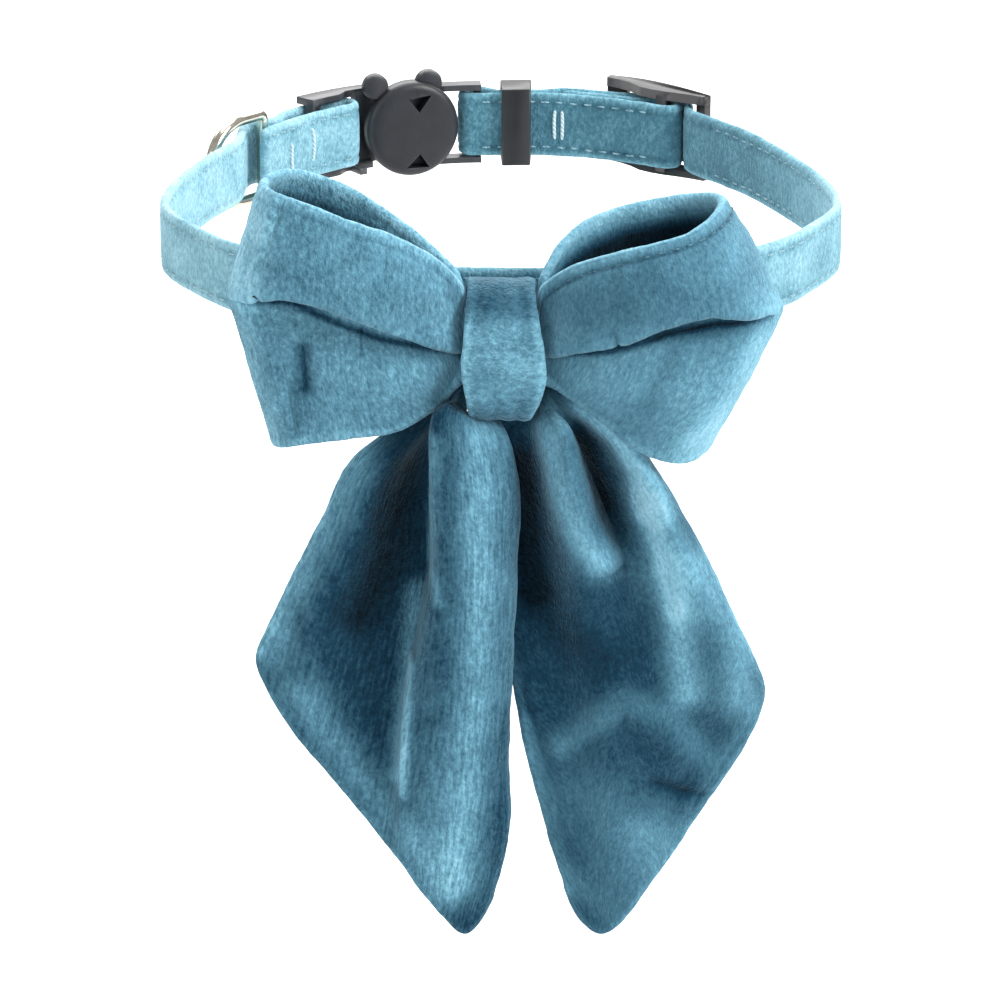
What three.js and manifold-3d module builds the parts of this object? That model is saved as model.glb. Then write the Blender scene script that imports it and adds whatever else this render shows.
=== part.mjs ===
// Pet bow tie collar, millimetres, +Z up.
// The origin is the centre of the neck opening at the strap's mid height; the bow is at -Y, the clasp at +Y.
// A velvet strap runs once around, is sewn back at the clasp over a D-ring, and passes a tri-glide,
// the clasp's other half and a keeper. The bow has two loops, a knot band and two pleated tails.
import * as THREE from 'three';
import * as BufferGeometryUtils from 'three/addons/utils/BufferGeometryUtils.js';
import Module from 'manifold-3d';

const wasm = await Module();
wasm.setup();

// ---- driving dimensions (mm) ----
const STRAP_WIDTH = 10;        // strap height along Z
const STRAP_T = 1.6;           // strap thickness
const LOOP_T = 1.3;            // cloth of the bow loops
const TAIL_T = 1.2;            // cloth of the tails
const KNOT_T = 1.1;            // cloth of the knot band
const WIRE_R = 0.9;            // D-ring wire radius
const D_HALF = 6.4;            // D-ring half height at the wire's centre
const D_REACH = 11.8;          // D-ring reach from its bar
const D_ANGLE = 5;             // degrees away from the strap's run at rest
const DISC_R = 7.4;            // clasp disc radius

// ---- the ring's plan curve: closed, from the back, clockwise seen from above ----
const RING = [
  [0.3, 48.9], [6.9, 48.9], [15.3, 46.2], [22.9, 41.8], [30.2, 35.4], [36.4, 26.2], [40.6, 17.4], [44.0, 8.2],
  [46.5, -0.6], [47.9, -9.5], [47.6, -16.0], [45.6, -21.6], [43.0, -26.8], [40.4, -31.5], [36.8, -36.0], [31, -40.6],
  [22.5, -44.4], [11.5, -46.9], [0, -47.7], [-11.5, -46.9], [-22.5, -44.2], [-31, -40.0], [-36.6, -35.4], [-40.4, -30.6],
  [-43.1, -26.0], [-45.9, -20.8], [-47.6, -15.4], [-47.8, -9.0], [-46.6, -1.0], [-44.2, 7.4], [-41.0, 16.2], [-36.4, 25.6],
  [-31.0, 33.6], [-25.6, 39.6], [-20.2, 43.6], [-13.8, 46.6], [-6.6, 48.4],
];

// ---- cloth tables: columns of points from the top edge to the bottom edge; loops run from the knot,
// along the front layer, around the outer fold and back; tails run from the outer edge to the inner edge ----
const LOOP_LEFT = [
  [[-1, -56.6, 2.7], [-1, -56.8, 0.9], [-1, -57, -1.3], [-1, -57.2, -3.5], [-1, -56.9, -4.3], [-1, -56.6, -5.2], [-1, -56.6, -6.8], [-1, -56.6, -8.4]],
  [[-4.6, -56.6, 2.1], [-4.6, -56.8, 0.9], [-4.6, -57, -1.3], [-4.6, -57.2, -3.5], [-4.6, -56.9, -4.3], [-4.6, -56.6, -5.2], [-4.6, -56.6, -6.8], [-4.6, -56.6, -8.4]],
  [[-5.89, -57, 5.87], [-5.96, -57.4, 2.77], [-6.1, -57.8, -0.46], [-6.11, -58, -3.35], [-6.12, -57, -3.24], [-6.13, -56.4, -4.83], [-6.27, -56.4, -6.95], [-6.69, -56, -9.77]],
  [[-9.4, -58.2, 9.69], [-9.66, -60, 6.2], [-9.93, -61.2, 2.38], [-10.07, -61.8, -1.33], [-9.84, -59.4, -0.82], [-10.27, -58.2, -3.43], [-9.89, -58, -7.43], [-9.26, -56.2, -12.54]],
  [[-14.42, -59.8, 12.78], [-14.79, -62.2, 9.06], [-15.18, -63.8, 5.11], [-15.46, -64.6, 1.47], [-15.26, -61.4, 2.31], [-15.85, -60, -1.19], [-15.62, -60.4, -6.95], [-14.64, -58.6, -14.74]],
  [[-20.61, -60.6, 15.21], [-21.11, -63, 11.49], [-21.5, -64.6, 7.56], [-21.77, -65.4, 4.21], [-21.61, -61.8, 5.06], [-22.23, -60.4, 1.17], [-22.03, -61, -6.48], [-20.81, -60, -15.13]],
  [[-26.57, -60, 17.52], [-27.32, -62.4, 13.66], [-28.1, -64.2, 9.78], [-28.64, -65, 6.02], [-28.51, -61.6, 6.67], [-29.01, -60.4, 2.98], [-27.4, -60.6, -6.19], [-26.2, -60, -15.84]],
  [[-30.2, -58.4, 18.45], [-31.25, -60.2, 14.41], [-32.18, -61.6, 9.85], [-33.14, -62.6, 5.03], [-33.09, -60.6, 5.68], [-33.17, -60, 2.86], [-30.78, -59.8, -6.16], [-28.81, -59.2, -16.53]],
  [[-31.52, -55.6, 18.92], [-32.9, -56, 14.88], [-34.29, -56.4, 10.01], [-35.97, -57, 4.47], [-35.86, -56.6, 4.07], [-35.89, -56.4, 3.03], [-33.23, -56.4, -6.81], [-30.29, -56.4, -17.32]],
  [[-30.34, -52, 19.32], [-32.01, -52, 14.88], [-33.44, -52, 9.72], [-34.74, -52.2, 4.17], [-34.62, -52.2, 3.32], [-34.5, -52.2, 2.34], [-32.34, -52.6, -7.44], [-29.49, -53, -17.87]],
  [[-26.96, -49.4, 18.89], [-28.66, -49, 14.04], [-29.81, -49, 9], [-30.42, -49.2, 3.71], [-30.44, -49.3, 2.32], [-30.45, -49.4, 0.94], [-28.64, -50.2, -7.62], [-26.55, -51.2, -17.32]],
  [[-20.94, -49, 16.69], [-21.94, -48.6, 12.53], [-22.53, -48.6, 8.04], [-22.84, -49, 3.36], [-22.85, -49.2, 2.01], [-22.86, -49.4, 0.66], [-22.1, -50.4, -6.7], [-20.79, -51.6, -16.04]],
  [[-14.61, -50.2, 13.12], [-15.18, -50.2, 9.62], [-15.48, -50.3, 5.72], [-15.77, -50.6, 1.72], [-15.78, -50.8, 0.51], [-15.78, -51, -0.7], [-14.99, -51.8, -6.27], [-13.66, -52.8, -13.36]],
  [[-9.49, -52, 9.3], [-9.77, -52.2, 6.83], [-10.05, -52.4, 3.81], [-10.2, -52.6, 0.49], [-10.2, -52.7, -0.61], [-10.21, -52.8, -1.71], [-9.81, -53.2, -5.26], [-9.02, -53.6, -9.96]],
  [[-6.12, -53.6, 6.12], [-6.13, -53.8, 3.66], [-6.13, -53.9, 1.16], [-6.14, -54, -1.34], [-6.14, -54, -2.19], [-6.14, -54, -3.04], [-6.29, -54, -5.02], [-6.43, -54, -7.14]],
  [[-4.6, -54.2, 2], [-4.6, -54.2, 1.2], [-4.6, -54.2, -0.8], [-4.6, -54.2, -3], [-4.6, -54.2, -4], [-4.6, -54.2, -5], [-4.6, -54.2, -6.6], [-4.6, -54.2, -8.2]],
  [[-1, -54.2, 2.7], [-1, -54.2, 1.2], [-1, -54.2, -0.8], [-1, -54.2, -3], [-1, -54.2, -4], [-1, -54.2, -5], [-1, -54.2, -6.6], [-1, -54.2, -8.2]],
];
const LOOP_RIGHT = [
  [[1, -56.6, 2.7], [1, -56.8, 0.9], [1, -57, -1.3], [1, -57.2, -3.5], [1, -56.9, -4.3], [1, -56.6, -5.2], [1, -56.6, -6.8], [1, -56.6, -8.4]],
  [[4.7, -56.6, 2.1], [4.7, -56.8, 0.9], [4.7, -57, -1.3], [4.7, -57.2, -3.5], [4.7, -56.9, -4.3], [4.7, -56.6, -5.2], [4.7, -56.6, -6.8], [4.7, -56.6, -8.4]],
  [[6.23, -57, 5.45], [6.5, -57.4, 2.21], [6.78, -57.8, -1.03], [6.92, -58, -4.05], [6.93, -57, -3.8], [6.94, -56.4, -5.4], [6.94, -56.4, -7.09], [6.96, -56, -9.2]],
  [[10.2, -59, 8.54], [10.45, -60.8, 5.18], [10.72, -61.8, 1.59], [10.87, -62.2, -2.19], [10.64, -59.6, -1.73], [10.95, -58.2, -4.27], [10.7, -58, -7.43], [10.34, -56.2, -11.26]],
  [[15.33, -61, 10.78], [15.71, -63, 7.22], [16.11, -64.4, 3.49], [16.52, -65, -0.35], [16.2, -61.6, 0.28], [16.53, -60.2, -3.09], [15.5, -60, -8.21], [14.24, -58.2, -13.74]],
  [[20.33, -62, 12.31], [20.83, -64, 9.31], [21.36, -65.4, 6], [21.91, -66, 2.18], [21.75, -62.2, 2.96], [22.11, -60.8, -0.94], [20.58, -61, -8.45], [18.28, -59.4, -16.75]],
  [[24.58, -61.4, 13.51], [25.61, -63.4, 10.37], [26.66, -64.8, 6.93], [27.74, -65.4, 3.52], [27.6, -62, 4.29], [27.97, -60.8, 0.45], [25.94, -61.2, -8.95], [22.05, -60, -18.26]],
  [[27.57, -59, 14.76], [29.41, -60.8, 11.27], [31.13, -62.2, 7.54], [32.89, -63, 2.79], [32.72, -60.8, 3.52], [33.07, -60, 0.63], [30.01, -60, -9.05], [25.04, -59.6, -18.53]],
  [[29.47, -54.6, 16.02], [32.18, -55.2, 12.16], [34.63, -55.8, 7.6], [37.1, -56.6, 2.39], [36.99, -56.2, 1.99], [37.16, -56, 0.95], [33.12, -56.2, -7.86], [27.44, -56.8, -18.04]],
  [[28.7, -50.6, 15.88], [31.17, -50.8, 12.31], [33.39, -51, 7.61], [35.62, -51.4, 2.38], [35.5, -51.4, 1.68], [35.37, -51.5, 0.72], [31.96, -52.2, -8.13], [26.9, -53.2, -18.67]],
  [[25.57, -48.2, 15.22], [27.25, -48, 10.96], [28.94, -48, 6.46], [30.08, -48.4, 1.77], [30.09, -48.5, 0.53], [29.97, -48.6, -0.72], [27.72, -49.8, -8.6], [23.97, -51.4, -18.69]],
  [[20.73, -47.8, 14.55], [21.59, -47.6, 10.28], [22.18, -47.6, 6.06], [22.76, -48, 1.94], [22.63, -48.2, 0.72], [22.5, -48.4, -0.49], [21.18, -49.8, -8.03], [19.03, -51.6, -17.19]],
  [[15.58, -49, 13.62], [16.02, -49, 9.56], [16.31, -49.2, 5.96], [16.47, -49.6, 2.13], [16.47, -49.8, 1.06], [16.34, -50, -0.01], [15.68, -51.2, -6.45], [14.62, -52.6, -13.71]],
  [[10.3, -51, 11.53], [10.45, -51.4, 8], [10.59, -51.8, 4.75], [10.74, -52.2, 1.49], [10.74, -52.3, 0.54], [10.75, -52.4, -0.42], [10.49, -53, -4.76], [10.1, -53.6, -10.25]],
  [[6.66, -53.2, 7.41], [6.53, -53.6, 4.72], [6.54, -53.8, 1.69], [6.54, -54, -1.06], [6.55, -54, -1.91], [6.55, -54, -2.75], [6.55, -54, -4.73], [6.56, -54, -7.14]],
  [[4.7, -54.2, 2], [4.7, -54.2, 1.2], [4.7, -54.2, -0.8], [4.7, -54.2, -3], [4.7, -54.2, -4], [4.7, -54.2, -5], [4.7, -54.2, -6.6], [4.7, -54.2, -8.2]],
  [[1, -54.2, 2.7], [1, -54.2, 1.2], [1, -54.2, -0.8], [1, -54.2, -3], [1, -54.2, -4], [1, -54.2, -5], [1, -54.2, -6.6], [1, -54.2, -8.2]],
];
const TAIL_LEFT = [
  [[-1.2, -52.1, -7.6], [-4.7, -52.3, -8.4], [-8.09, -53, -13.43], [-12.99, -53.2, -15.51], [-20.23, -54, -20.84], [-23.99, -54, -28.34], [-27.81, -53.5, -35.93], [-30.8, -53, -42.11], [-33.22, -53, -46.97], [-34.17, -53, -50.22]],
  [[-1.2, -52.1, -8.12], [-4.7, -52.3, -8.86], [-7.54, -53.2, -13.37], [-11.48, -54.2, -15.76], [-17.19, -56, -21.6], [-20.26, -56.2, -30.03], [-23.38, -55.4, -38.74], [-25.97, -54.6, -46.37], [-27.75, -54, -53.98], [-28.96, -53.5, -59.69]],
  [[-1.2, -52.1, -8.55], [-4.7, -52.3, -9.25], [-6.99, -53.4, -12.88], [-10, -53.4, -15.88], [-13.74, -52.6, -23.91], [-15.32, -52.2, -34.06], [-17.32, -52.2, -43.14], [-19.47, -52.6, -52.3], [-21.48, -53, -60.33], [-23.09, -53, -67.53]],
  [[-1.2, -52.1, -8.98], [-4.7, -52.3, -9.64], [-6.45, -53.8, -12.75], [-8.37, -53, -16.01], [-9.12, -50.4, -25.38], [-9.72, -50.4, -36.16], [-11.56, -51.2, -46.17], [-13.68, -52.4, -56.09], [-15.4, -53, -65.88], [-17.15, -53, -75.39]],
  [[-1.2, -52.1, -9.41], [-4.7, -52.3, -10.02], [-6.17, -54.8, -12.57], [-8.98, -57.8, -13.44], [-9.27, -58.8, -21.8], [-8.92, -58.4, -33.3], [-10.35, -57.2, -43.92], [-11.81, -56.2, -55.35], [-13, -55.2, -67.53], [-13.66, -54, -79.67]],
  [[-1.2, -52.1, -9.93], [-4.7, -52.3, -10.49], [-5.76, -55.2, -12.3], [-7.33, -60, -12.3], [-7.21, -61.2, -21.27], [-6.99, -60.8, -32.58], [-7.86, -59.4, -44.27], [-8.89, -57.8, -56.35], [-9.94, -56, -69.91], [-10.74, -54, -84.24]],
  [[-1.2, -52.1, -10.36], [-4.7, -52.3, -10.87], [-5.35, -55.2, -13.01], [-4.64, -59.8, -13.78], [-3.31, -60.6, -21.9], [-3.19, -60, -33.16], [-3.9, -58.6, -45.3], [-4.76, -57.2, -58.37], [-5.64, -55.6, -72.78], [-7.95, -54, -87.91]],
  [[-1.2, -52.1, -10.88], [-4.7, -52.3, -11.34], [-4.95, -54.8, -13.28], [-1.96, -58, -15.51], [0.47, -58.4, -23.22], [0.34, -57.8, -34.53], [-0.21, -56.4, -47.6], [-0.9, -55.4, -61.62], [-1.75, -54.6, -75.92], [-5, -54, -90.52]],
  [[-1.2, -52.1, -11.4], [-4.7, -52.3, -11.8], [-4.95, -54, -13.82], [-0.88, -55.2, -17.22], [2.25, -55, -24.96], [1.78, -54.4, -36.33], [1.45, -53.8, -49.62], [0.9, -53.5, -63.13], [1.05, -53.5, -74.87], [-1.62, -53.6, -86.71]],
];
const TAIL_RIGHT = [
  [[1.2, -52.1, -11.4], [4.7, -52.3, -11.8], [4.55, -53.2, -13.66], [0.34, -51.4, -17.83], [-0.21, -49.8, -24.13], [0.21, -49.6, -30.6], [0.76, -49.8, -37.84], [1.18, -50.6, -49.35], [2.99, -52, -61.03], [6.51, -53, -74.78], [10.19, -54, -86.69]],
  [[1.2, -52.1, -10.8], [4.7, -52.3, -11.26], [5.77, -53.8, -13.6], [4.96, -54, -17.26], [5.4, -53, -23.63], [6.11, -52, -30.05], [6.82, -51.6, -37.49], [7.68, -52, -48.82], [9.38, -53, -60.33], [10.83, -54, -74.06], [13.59, -54, -90.37]],
  [[1.2, -52.1, -10.28], [4.7, -52.3, -10.8], [6.17, -54.8, -13.14], [6.95, -59, -15.18], [8.04, -60, -20.82], [9.29, -59.2, -27.11], [10.72, -57.2, -34.6], [12.33, -55.2, -46.88], [14.06, -55, -58.35], [15.68, -55, -71.83], [16.68, -54, -88.83]],
  [[1.2, -52.1, -9.67], [4.7, -52.3, -10.25], [6.57, -55.2, -12.87], [8.96, -59.6, -14.84], [10.32, -60.4, -20.26], [11.86, -59.4, -26.32], [14.11, -57.6, -33.01], [16.14, -56.2, -44.59], [18.16, -56, -55.43], [20.11, -55, -67.77], [20.98, -54, -82.56]],
  [[1.2, -52.1, -9.15], [4.7, -52.3, -9.79], [6.98, -54.6, -13.06], [10.13, -54, -17.4], [12.39, -51.8, -24.03], [14.48, -51.8, -29.4], [16.63, -55, -33.93], [19.82, -56.6, -42.98], [22.27, -56.4, -53.05], [24.26, -54.5, -64.52], [24.58, -53.5, -77.3]],
  [[1.2, -52.1, -8.64], [4.7, -52.3, -9.33], [7.39, -54.2, -13.05], [12.15, -54.8, -16.56], [16.01, -54.2, -22.35], [18.62, -55.2, -27.49], [20.66, -57.2, -32.71], [23.74, -58, -41.29], [26.35, -57, -50.61], [28.4, -54, -61.13], [28.71, -53, -70.7]],
  [[1.2, -52.1, -8.12], [4.7, -52.3, -8.86], [7.8, -53.8, -12.61], [13.99, -57.2, -14.63], [19.27, -59, -20.02], [22.15, -59.6, -25.96], [24.66, -59.6, -31.86], [28.35, -58.8, -40.7], [31.27, -57, -48.4], [33.47, -54, -56.51], [33.61, -53, -62.43]],
  [[1.2, -52.1, -7.6], [4.7, -52.3, -8.4], [8.35, -53.2, -12.51], [15.38, -55.4, -13.94], [21.41, -56, -22.03], [24.88, -55.8, -28.15], [27.84, -55.4, -33.79], [31.85, -54.5, -42.73], [34.47, -53.5, -48.55], [36.26, -52.5, -53.23], [36.68, -52, -56.25]],
];

// ---- helpers ----
function catmull(p0, p1, p2, p3, t) {
  return p1.map((_, i) => 0.5 * (2 * p1[i] + (p2[i] - p0[i]) * t + (2 * p0[i] - 5 * p1[i] + 4 * p2[i] - p3[i]) * t * t
    + (3 * p1[i] - p0[i] - 3 * p2[i] + p3[i]) * t * t * t));
}

// the ring curve as a fine polyline with arclength, then a frame at any station s
const ringPts = [];
for (let i = 0; i < RING.length; i++) {
  const n = RING.length;
  for (let k = 0; k < 24; k++) {
    ringPts.push(catmull(RING[(i + n - 1) % n], RING[i], RING[(i + 1) % n], RING[(i + 2) % n], k / 24));
  }
}
const ringS = [0];
for (let i = 0; i < ringPts.length; i++) {
  const a = ringPts[i], b = ringPts[(i + 1) % ringPts.length];
  ringS.push(ringS[i] + Math.hypot(b[0] - a[0], b[1] - a[1]));
}
const RING_LEN = ringS[ringPts.length];

function ringAt(s) {
  s = ((s % RING_LEN) + RING_LEN) % RING_LEN;
  let lo = 0, hi = ringPts.length;
  while (hi - lo > 1) { const m = (lo + hi) >> 1; if (ringS[m] <= s) lo = m; else hi = m; }
  const a = ringPts[lo], b = ringPts[(lo + 1) % ringPts.length];
  const f = (s - ringS[lo]) / (ringS[lo + 1] - ringS[lo]);
  return [a[0] + (b[0] - a[0]) * f, a[1] + (b[1] - a[1]) * f];
}

function frameAt(s) {
  const p = ringAt(s), a = ringAt(s - 1.2), b = ringAt(s + 1.2);
  const l = Math.hypot(b[0] - a[0], b[1] - a[1]);
  const t = [(b[0] - a[0]) / l, (b[1] - a[1]) / l];
  return { p, t, n: [-t[1], t[0]] };
}

// plan point at station s, n outward
function sn(s, n) {
  const f = frameAt(s);
  return [f.p[0] + f.n[0] * n, f.p[1] + f.n[1] * n];
}

function solid(geo) {
  const g = geo.clone();
  g.deleteAttribute('normal');
  g.deleteAttribute('uv');
  const m = BufferGeometryUtils.mergeVertices(g, 1e-4);
  return new wasm.Manifold(new wasm.Mesh({
    numProp: 3,
    vertProperties: new Float32Array(m.attributes.position.array),
    triVerts: new Uint32Array(m.index.array),
  }));
}

function geometry(man) {
  const m = man.getMesh();
  const pos = new Float32Array(m.numVert * 3);
  for (let i = 0; i < m.numVert; i++) for (let k = 0; k < 3; k++) pos[i * 3 + k] = m.vertProperties[i * m.numProp + k];
  const g = new THREE.BufferGeometry();
  g.setAttribute('position', new THREE.BufferAttribute(pos, 3));
  g.setIndex(new THREE.BufferAttribute(new Uint32Array(m.triVerts), 1));
  g.computeVertexNormals();
  return g;
}

// upright prism over a plan polygon
function prism(points, z0, z1) {
  const shape = new THREE.Shape(points.map((p) => new THREE.Vector2(p[0], p[1])));
  const g = new THREE.ExtrudeGeometry(shape, { depth: z1 - z0, bevelEnabled: false, steps: 1 });
  g.translate(0, 0, z0);
  return g;
}

// plan polygon of a block that follows the ring: n from nLow(s) to nHigh(s)
function block(s0, s1, low, high, steps) {
  const a = [], b = [];
  for (let i = 0; i <= steps; i++) {
    const s = s0 + (s1 - s0) * i / steps;
    a.push(sn(s, typeof low === 'number' ? low : low(i / steps)));
    b.unshift(sn(s, typeof high === 'number' ? high : high(i / steps)));
  }
  return a.concat(b);
}

function closedMesh(pos, idx) {
  const g = new THREE.BufferGeometry();
  g.setAttribute('position', new THREE.BufferAttribute(new Float32Array(pos), 3));
  g.setIndex(idx);
  let vol = 0;
  for (let i = 0; i < idx.length; i += 3) {
    const [a, b, c] = [idx[i], idx[i + 1], idx[i + 2]].map((k) => new THREE.Vector3(pos[k * 3], pos[k * 3 + 1], pos[k * 3 + 2]));
    vol += a.dot(b.cross(c)) / 6;
  }
  if (vol < 0) {
    const r = [];
    for (let i = 0; i < idx.length; i += 3) r.push(idx[i], idx[i + 2], idx[i + 1]);
    g.setIndex(r);
  }
  g.computeVertexNormals();
  return g;
}

// a smooth grid through a table of columns, each a list of points
function refine(table, colSteps, rowSteps) {
  const alongRows = table.map((column) => {
    const out = [];
    const n = column.length;
    for (let i = 0; i < n - 1; i++) {
      for (let k = 0; k < rowSteps; k++) {
        out.push(catmull(column[Math.max(i - 1, 0)], column[i], column[i + 1], column[Math.min(i + 2, n - 1)], k / rowSteps));
      }
    }
    out.push(column[n - 1]);
    return out;
  });
  const grid = [];
  const n = alongRows.length;
  for (let i = 0; i < n - 1; i++) {
    const steps = Array.isArray(colSteps) ? colSteps[i] : colSteps;
    for (let k = 0; k < steps; k++) {
      grid.push(alongRows[i].map((_, j) => catmull(alongRows[Math.max(i - 1, 0)][j], alongRows[i][j], alongRows[i + 1][j],
        alongRows[Math.min(i + 2, n - 1)][j], k / steps)));
    }
  }
  grid.push(alongRows[n - 1]);
  return grid;
}

// cloth of thickness t on both sides of a grid of points; wrap closes the columns into a tube
function cloth(grid, t, wrap = false) {
  const nu = grid.length, nv = grid[0].length;
  const v = (i, j) => new THREE.Vector3(...grid[i][j]);
  const iu = (i) => (wrap ? (i + nu) % nu : Math.min(Math.max(i, 0), nu - 1));
  const jv = (j) => Math.min(Math.max(j, 0), nv - 1);
  const pos = [];
  for (const side of [1, -1]) {
    for (let i = 0; i < nu; i++) {
      for (let j = 0; j < nv; j++) {
        const du = v(iu(i + 1), j).sub(v(iu(i - 1), j)).normalize();
        const dv = v(i, jv(j + 1)).sub(v(i, jv(j - 1))).normalize();
        const nrm = du.cross(dv).normalize().multiplyScalar(side * t / 2);
        const p = v(i, j).add(nrm);
        pos.push(p.x, p.y, p.z);
      }
    }
  }
  const id = (side, i, j) => side * nu * nv + iu(i) * nv + j;
  const idx = [];
  const quad = (a, b, c, d) => idx.push(a, b, c, a, c, d);
  const last = wrap ? nu : nu - 1;
  for (let i = 0; i < last; i++) {
    for (let j = 0; j < nv - 1; j++) {
      quad(id(0, i, j), id(0, i + 1, j), id(0, i + 1, j + 1), id(0, i, j + 1));
      quad(id(1, i, j), id(1, i, j + 1), id(1, i + 1, j + 1), id(1, i + 1, j));
    }
    quad(id(0, i, 0), id(1, i, 0), id(1, i + 1, 0), id(0, i + 1, 0));
    quad(id(0, i, nv - 1), id(0, i + 1, nv - 1), id(1, i + 1, nv - 1), id(1, i, nv - 1));
  }
  if (!wrap) {
    for (let j = 0; j < nv - 1; j++) {
      quad(id(0, 0, j), id(0, 0, j + 1), id(1, 0, j + 1), id(1, 0, j));
      quad(id(0, nu - 1, j), id(1, nu - 1, j), id(1, nu - 1, j + 1), id(0, nu - 1, j + 1));
    }
  }
  return closedMesh(pos, idx);
}

// ---- collar strap: one strip in plan, drawn as (station, offset outward) pairs ----
const STRAP_ROUTE = [
  // sewn end beside the D-ring, inner side, to the fold in the clasp's left slot
  [258.9, 0, 1], [262, 0, 1], [266, 0, 1], [270, 0, 1], [274, 0, 1], [277.4, 0, 1], [279.0, 0.35, 2], [279.9, 1.9, 2], [279.0, 3.45, 2],
  // back on the outer side, past the clasp bar, tacked, over the D-ring's bar
  [277.4, 3.8, 1], [274, 3.8, 1], [270.6, 3.85, 2], [268.5, 3.7, 2], [266.5, 2.7, 2], [264.3, 3.3, 2], [261.8, 4.1, 2], [259.2, 3.6, 2], [256.4, 2.2, 2],
  [253.6, 0.9, 2], [250.6, 0.2, 1], [247, 0, 1], [243, 0, 1],
  // around the left side, the front and the right side
  ...Array.from({ length: 41 }, (_, i) => [238.5 - i * 4.85, 0, 1]),
  // through the tri-glide
  [40.5, 0, 1], [37.5, 0.2, 1], [34.4, 0.5, 2], [31.6, 1.1, 2], [29.6, 2.4, 2], [28.3, 4.4, 2], [26.6, 5.7, 2], [24.4, 5.9, 2], [22, 5.3, 2], [19, 4.3, 1], [15.5, 3.8, 1],
  [12, 3.8, 1], [9.0, 3.7, 2], [7.0, 2.8, 2], [5.2, 2.0, 1], [2, 1.9, 1], [-0.5, 1.95, 2], [-1.9, 2.9, 2], [-3.0, 3.75, 1], [-3.9, 3.85, 1], [-4.8, 3.5, 2], [-5.6, 1.9, 2], [-4.8, 0.3, 2],
  // back on the inner side, through the keeper, around the tri-glide's centre bar
  [-3.2, 0, 1], [0, 0, 1], [4, 0, 1], [8, 0, 1], [12, 0, 1], [16, 0, 1], [20, 0, 1], [23.4, 0.25, 1], [25.4, 0.3, 2], [27.0, 0.8, 2], [27.6, 2.0, 2], [27.0, 3.4, 2],
  [25.2, 3.95, 2], [22.9, 3.5, 2], [20.4, 2.4, 2], [18.2, 1.95, 1], [14, 1.9, 1], [8.9, 1.9, 1],
];
const route = [];
for (let i = 0; i < STRAP_ROUTE.length - 1; i++) {
  const q = STRAP_ROUTE, n = q.length;
  for (let k = 0; k < q[i][2]; k++) {
    route.push(catmull(q[Math.max(i - 1, 0)].slice(0, 2), q[i].slice(0, 2), q[i + 1].slice(0, 2), q[Math.min(i + 2, n - 1)].slice(0, 2), k / q[i][2]));
  }
}
route.push(STRAP_ROUTE[STRAP_ROUTE.length - 1].slice(0, 2));
const strapPlan = route.map((r) => sn(r[0], r[1]));
const strapGrid = strapPlan.map((p) => [[p[0], p[1], -STRAP_WIDTH / 2], [p[0], p[1], STRAP_WIDTH / 2]]);
const strapGeo = cloth(strapGrid, STRAP_T);

// ---- bow ----
const loopLeftGeo = cloth(refine(LOOP_LEFT, [1, 1, 1, 2, 2, 2, 2, 2, 2, 2, 2, 1, 1, 1, 1, 1], 2), LOOP_T);
const loopRightGeo = cloth(refine(LOOP_RIGHT, [1, 1, 1, 2, 2, 2, 2, 2, 2, 2, 2, 1, 1, 1, 1, 1], 2), LOOP_T);
const tailLeftGeo = cloth(refine(TAIL_LEFT, 2, 2), TAIL_T);
const tailRightGeo = cloth(refine(TAIL_RIGHT, 2, 2), TAIL_T);

// knot band: mid line of the cloth around the bow (y, z), with its half width and centre in x
const KNOT = [
  [-50.0, -3.5, 5.0, 0.1], [-50.0, 0.2, 5.0, 0.1], [-50.6, 3.0, 4.8, 0.1], [-52.8, 4.6, 4.7, 0.1], [-55.6, 4.95, 4.6, 0.1], [-57.9, 3.95, 4.6, 0.1],
  [-59.4, 1.6, 4.9, 0.15], [-59.9, -1.4, 5.3, 0.3], [-60.1, -4.6, 5.7, 0.4], [-60.0, -7.6, 5.6, 0.5], [-59.4, -10.4, 4.9, 0.5], [-58.0, -12.6, 3.4, 0.2],
  [-55.4, -13.3, 2.9, 0.1], [-52.4, -13.1, 3.2, 0.1], [-50.5, -11.6, 4.4, 0.1], [-50.0, -8.0, 5.0, 0.1],
];
const knotGrid = [];
for (let i = 0; i < KNOT.length; i++) {
  const n = KNOT.length;
  for (let k = 0; k < 2; k++) {
    const q = catmull(KNOT[(i + n - 1) % n], KNOT[i], KNOT[(i + 1) % n], KNOT[(i + 2) % n], k / 2);
    knotGrid.push([-1, -0.5, 0, 0.5, 1].map((w) => [q[3] + w * q[2], q[0], q[1]]));
  }
}
const knotGeo = cloth(knotGrid, KNOT_T, true);

// ---- clasp ----
const DISC_S = 289.2;
const fd = frameAt(DISC_S);
const discBasis = new THREE.Matrix4().makeBasis(
  new THREE.Vector3(fd.t[0], fd.t[1], 0), new THREE.Vector3(fd.n[0], fd.n[1], 0), new THREE.Vector3(0, 0, 1));
discBasis.setPosition(fd.p[0], fd.p[1], 0);
// cylinder in the clasp's frame: centre (a, z), n from n0 to n1
function claspCyl(a, z, r, n0, n1, seg) {
  const g = new THREE.CylinderGeometry(r, r, n1 - n0, seg);
  g.translate(a, (n0 + n1) / 2, z);
  g.applyMatrix4(discBasis);
  return g;
}
function claspPlate(outline, n0, n1) {
  const shape = new THREE.Shape(outline.map((p) => new THREE.Vector2(p[0], p[1])));
  const g = new THREE.ExtrudeGeometry(shape, { depth: n1 - n0, bevelEnabled: false });
  g.rotateX(Math.PI / 2);
  g.translate(0, n1, 0);
  g.applyMatrix4(discBasis);
  return g;
}
let disc = solid(claspCyl(0, 0, DISC_R, -1.9, 1.3, 40));
disc = disc.add(solid(claspCyl(-5.7, 6.9, 2.0, -0.8, 1.2, 16)));
disc = disc.add(solid(claspCyl(2.9, 6.8, 2.1, -0.8, 1.2, 16)));
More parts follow.
